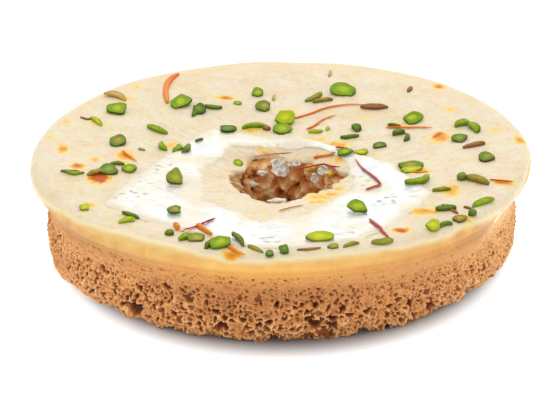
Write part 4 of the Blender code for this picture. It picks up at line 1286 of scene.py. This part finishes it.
def moist_material(name, sizes, mottles, mottled, bumps, **settings):
    """A moist topping in its own tints, mottled in patches and finely grained."""
    material, tree, shader = new_material(name, **settings)
    patches, grain = speckle(tree, *sizes)
    tint = mix(tree, mottled, attribute(tree, "tint", "Color"), ramp(tree, patches, *mottles), "OVERLAY")
    tree.links.new(tint, shader.inputs["Base Color"])
    bump(tree, shader, grain, *bumps)
    return material


def strewn(pick, cut, table):
    """Cut pieces of nut one after another, each laid at its place on top."""
    for x, y, length, width, thickness, turn, lean, bend, tone in table:
        part = cut(pick, length, width, thickness, bend, tone)
        lay(part, x, y, turn, lean, width)
        yield part


PISTACHIO = moist_material(
    "pistachio", sizes=(1.6, 0.35), mottles=((0.3, 160, 160, 140), (0.7, 208, 206, 178)), mottled=0.55,
    bumps=(0.12, 0.6), Roughness=0.55, Specular_IOR_Level=0.18, Subsurface_Weight=0.05,
    Subsurface_Scale=0.001,
)
pick = random.Random(SEED + 5)
slices = gathered(strewn(pick, pistachio_slice, SLICES), "tint", kind="float_color")
finish("pistachio_slices", slices, PISTACHIO, "pistachio", crisp=True)
slivers = gathered(strewn(pick, pistachio_sliver, SLIVERS), "tint", kind="float_color")
finish("pistachio_slivers", slivers, PISTACHIO, "pistachio", crisp=True)

# ---------------------------------------------------------------- saffron
# Soaked saffron threads, dark red to orange: thin tapering strands that curl over the cream and the
# silver, one of them over the lip of the hole. Their dye is in the cream's own stains.
THREAD_SIDES = 7
THREAD_STEPS = 22
RED = ((206, 70, 26), (168, 40, 26))
ORANGE = ((240, 112, 4), (242, 150, 8))
PINK = ((210, 104, 92), (186, 66, 62))
BROWN = ((190, 128, 60), (160, 100, 44))
# Threads: points of the run, half thickness at the first and the last end, and shades.
THREADS = (
    (((-35, 65), (-38, 60), (-39, 50), (-37.6, 40)), 1.5, 1.2, ORANGE),
    (((5, 30), (11, 33), (15, 37), (24, 39), (30, 38)), 0.6, 0.3, ORANGE),
    (((9, 21), (12, 24), (14, 28), (19, 31)), 0.55, 0.3, ORANGE),
    (((35, 20), (41, 18.5), (46, 18), (50, 17)), 0.5, 0.4, ORANGE),
    (((4, -4.5), (9, -3), (14, -1.5), (16, -4), (19, -6)), 0.5, 0.35, RED),
    (((14, -1.5), (16.5, -5), (18, -9), (18.5, -12)), 0.4, 0.3, RED),
    (((18, 5), (21, 3.5), (24, 2)), 0.6, 0.4, RED),
    (((24, -4), (26, -12), (29, -20), (31, -27)), 0.25, 0.65, PINK),
    (((31, -27), (29, -28.5), (26, -31)), 0.6, 0.45, PINK),
    (((26, -55), (28, -60), (30, -65), (31, -68)), 0.7, 0.55, PINK),
    (((-29, -62), (-25, -60), (-22, -56), (-19, -53)), 0.3, 0.5, RED),
    (((-15, -72), (-12, -76), (-10, -78)), 0.8, 0.5, ORANGE),
    (((-24, -57.5), (-22.4, -61), (-19.6, -65)), 1.3, 0.8, ORANGE),
    (((-30.6, -57.4), (-30, -58.6), (-29.6, -60.4)), 1.1, 0.9, ORANGE),
    (((52, -50), (50, -47), (48, -45)), 0.25, 0.35, RED),
    (((64, -28), (67, -29), (71, -30)), 0.4, 0.3, RED),
    (((-8, 4), (-2, 6), (4, 6.5)), 0.25, 0.2, PINK),
    (((-50, 1), (-48, -3), (-45, -7)), 0.5, 0.35, ORANGE),
    (((-0.5, -45), (3, -42.5), (7, -40.5)), 0.3, 0.2, BROWN),
    (((40, -17), (43, -18.5), (46, -18)), 0.4, 0.3, ORANGE),
    (((11, 3), (14, 2.6), (18, 2)), 0.9, 0.6, ORANGE),
)
# A strand is this much thinner than its listed half thickness, and this much flatter than it is wide.
THREAD_SLIMNESS = 0.8
THREAD_FLATNESS = 0.8
THREAD_LIFT = 0.35
COURSE_POINTS = 60


def saffron_thread(run, first_half, last_half, shades):
    """A strand laid along a run of points: a long cone of small sides, bent to the run."""
    bm = bmesh.new()
    bmesh.ops.create_cone(bm, cap_ends=True, segments=THREAD_SIDES, radius1=1.0, radius2=1.0, depth=1.0)
    bmesh.ops.subdivide_edges(bm, edges=edges_along(bm, 2, 0.5), cuts=THREAD_STEPS, use_grid_fill=True)
    line, _ = even_points(cut_corners(run), COURSE_POINTS)
    course = [Vector((x, y, top_at(x, y) + THREAD_LIFT)) for x, y in line]
    tint = bm.verts.layers.float_color.new("tint")
    first, last = (colour(*shade) for shade in shades)
    for vert in bm.verts:
        share = vert.co.z + 0.5
        position = share * (len(course) - 1.001)
        index = min(int(position), len(course) - 2)
        here = course[index].lerp(course[index + 1], position - index)
        ahead = (course[index + 1] - course[index]).normalized()
        aside = Vector((-ahead.y, ahead.x, 0.0)).normalized()
        bumpy = 1.0 + 0.25 * noise.noise(Vector((share * 9.0, first_half * 30.0, run[0][0])))
        half = THREAD_SLIMNESS * (first_half + (last_half - first_half) * share)
        radius = half * bumpy * (1.0 - 0.6 * abs(2.0 * share - 1.0) ** 6)
        vert[tint] = blend(first, last, share)
        vert.co = here + radius * (vert.co.x * aside + THREAD_FLATNESS * vert.co.y * aside.cross(ahead))
    return bm


SAFFRON = moist_material(
    "saffron", sizes=(1.2, 0.3), mottles=((0.3, 166, 160, 150), (0.7, 206, 204, 184)), mottled=0.5,
    bumps=(0.1, 0.5), Roughness=0.45, Specular_IOR_Level=0.25, Subsurface_Weight=0.08,
    Subsurface_Scale=0.0008,
)
threads = gathered((saffron_thread(*thread) for thread in THREADS), "tint", kind="float_color")
finish("saffron_threads", threads, SAFFRON, "saffron")
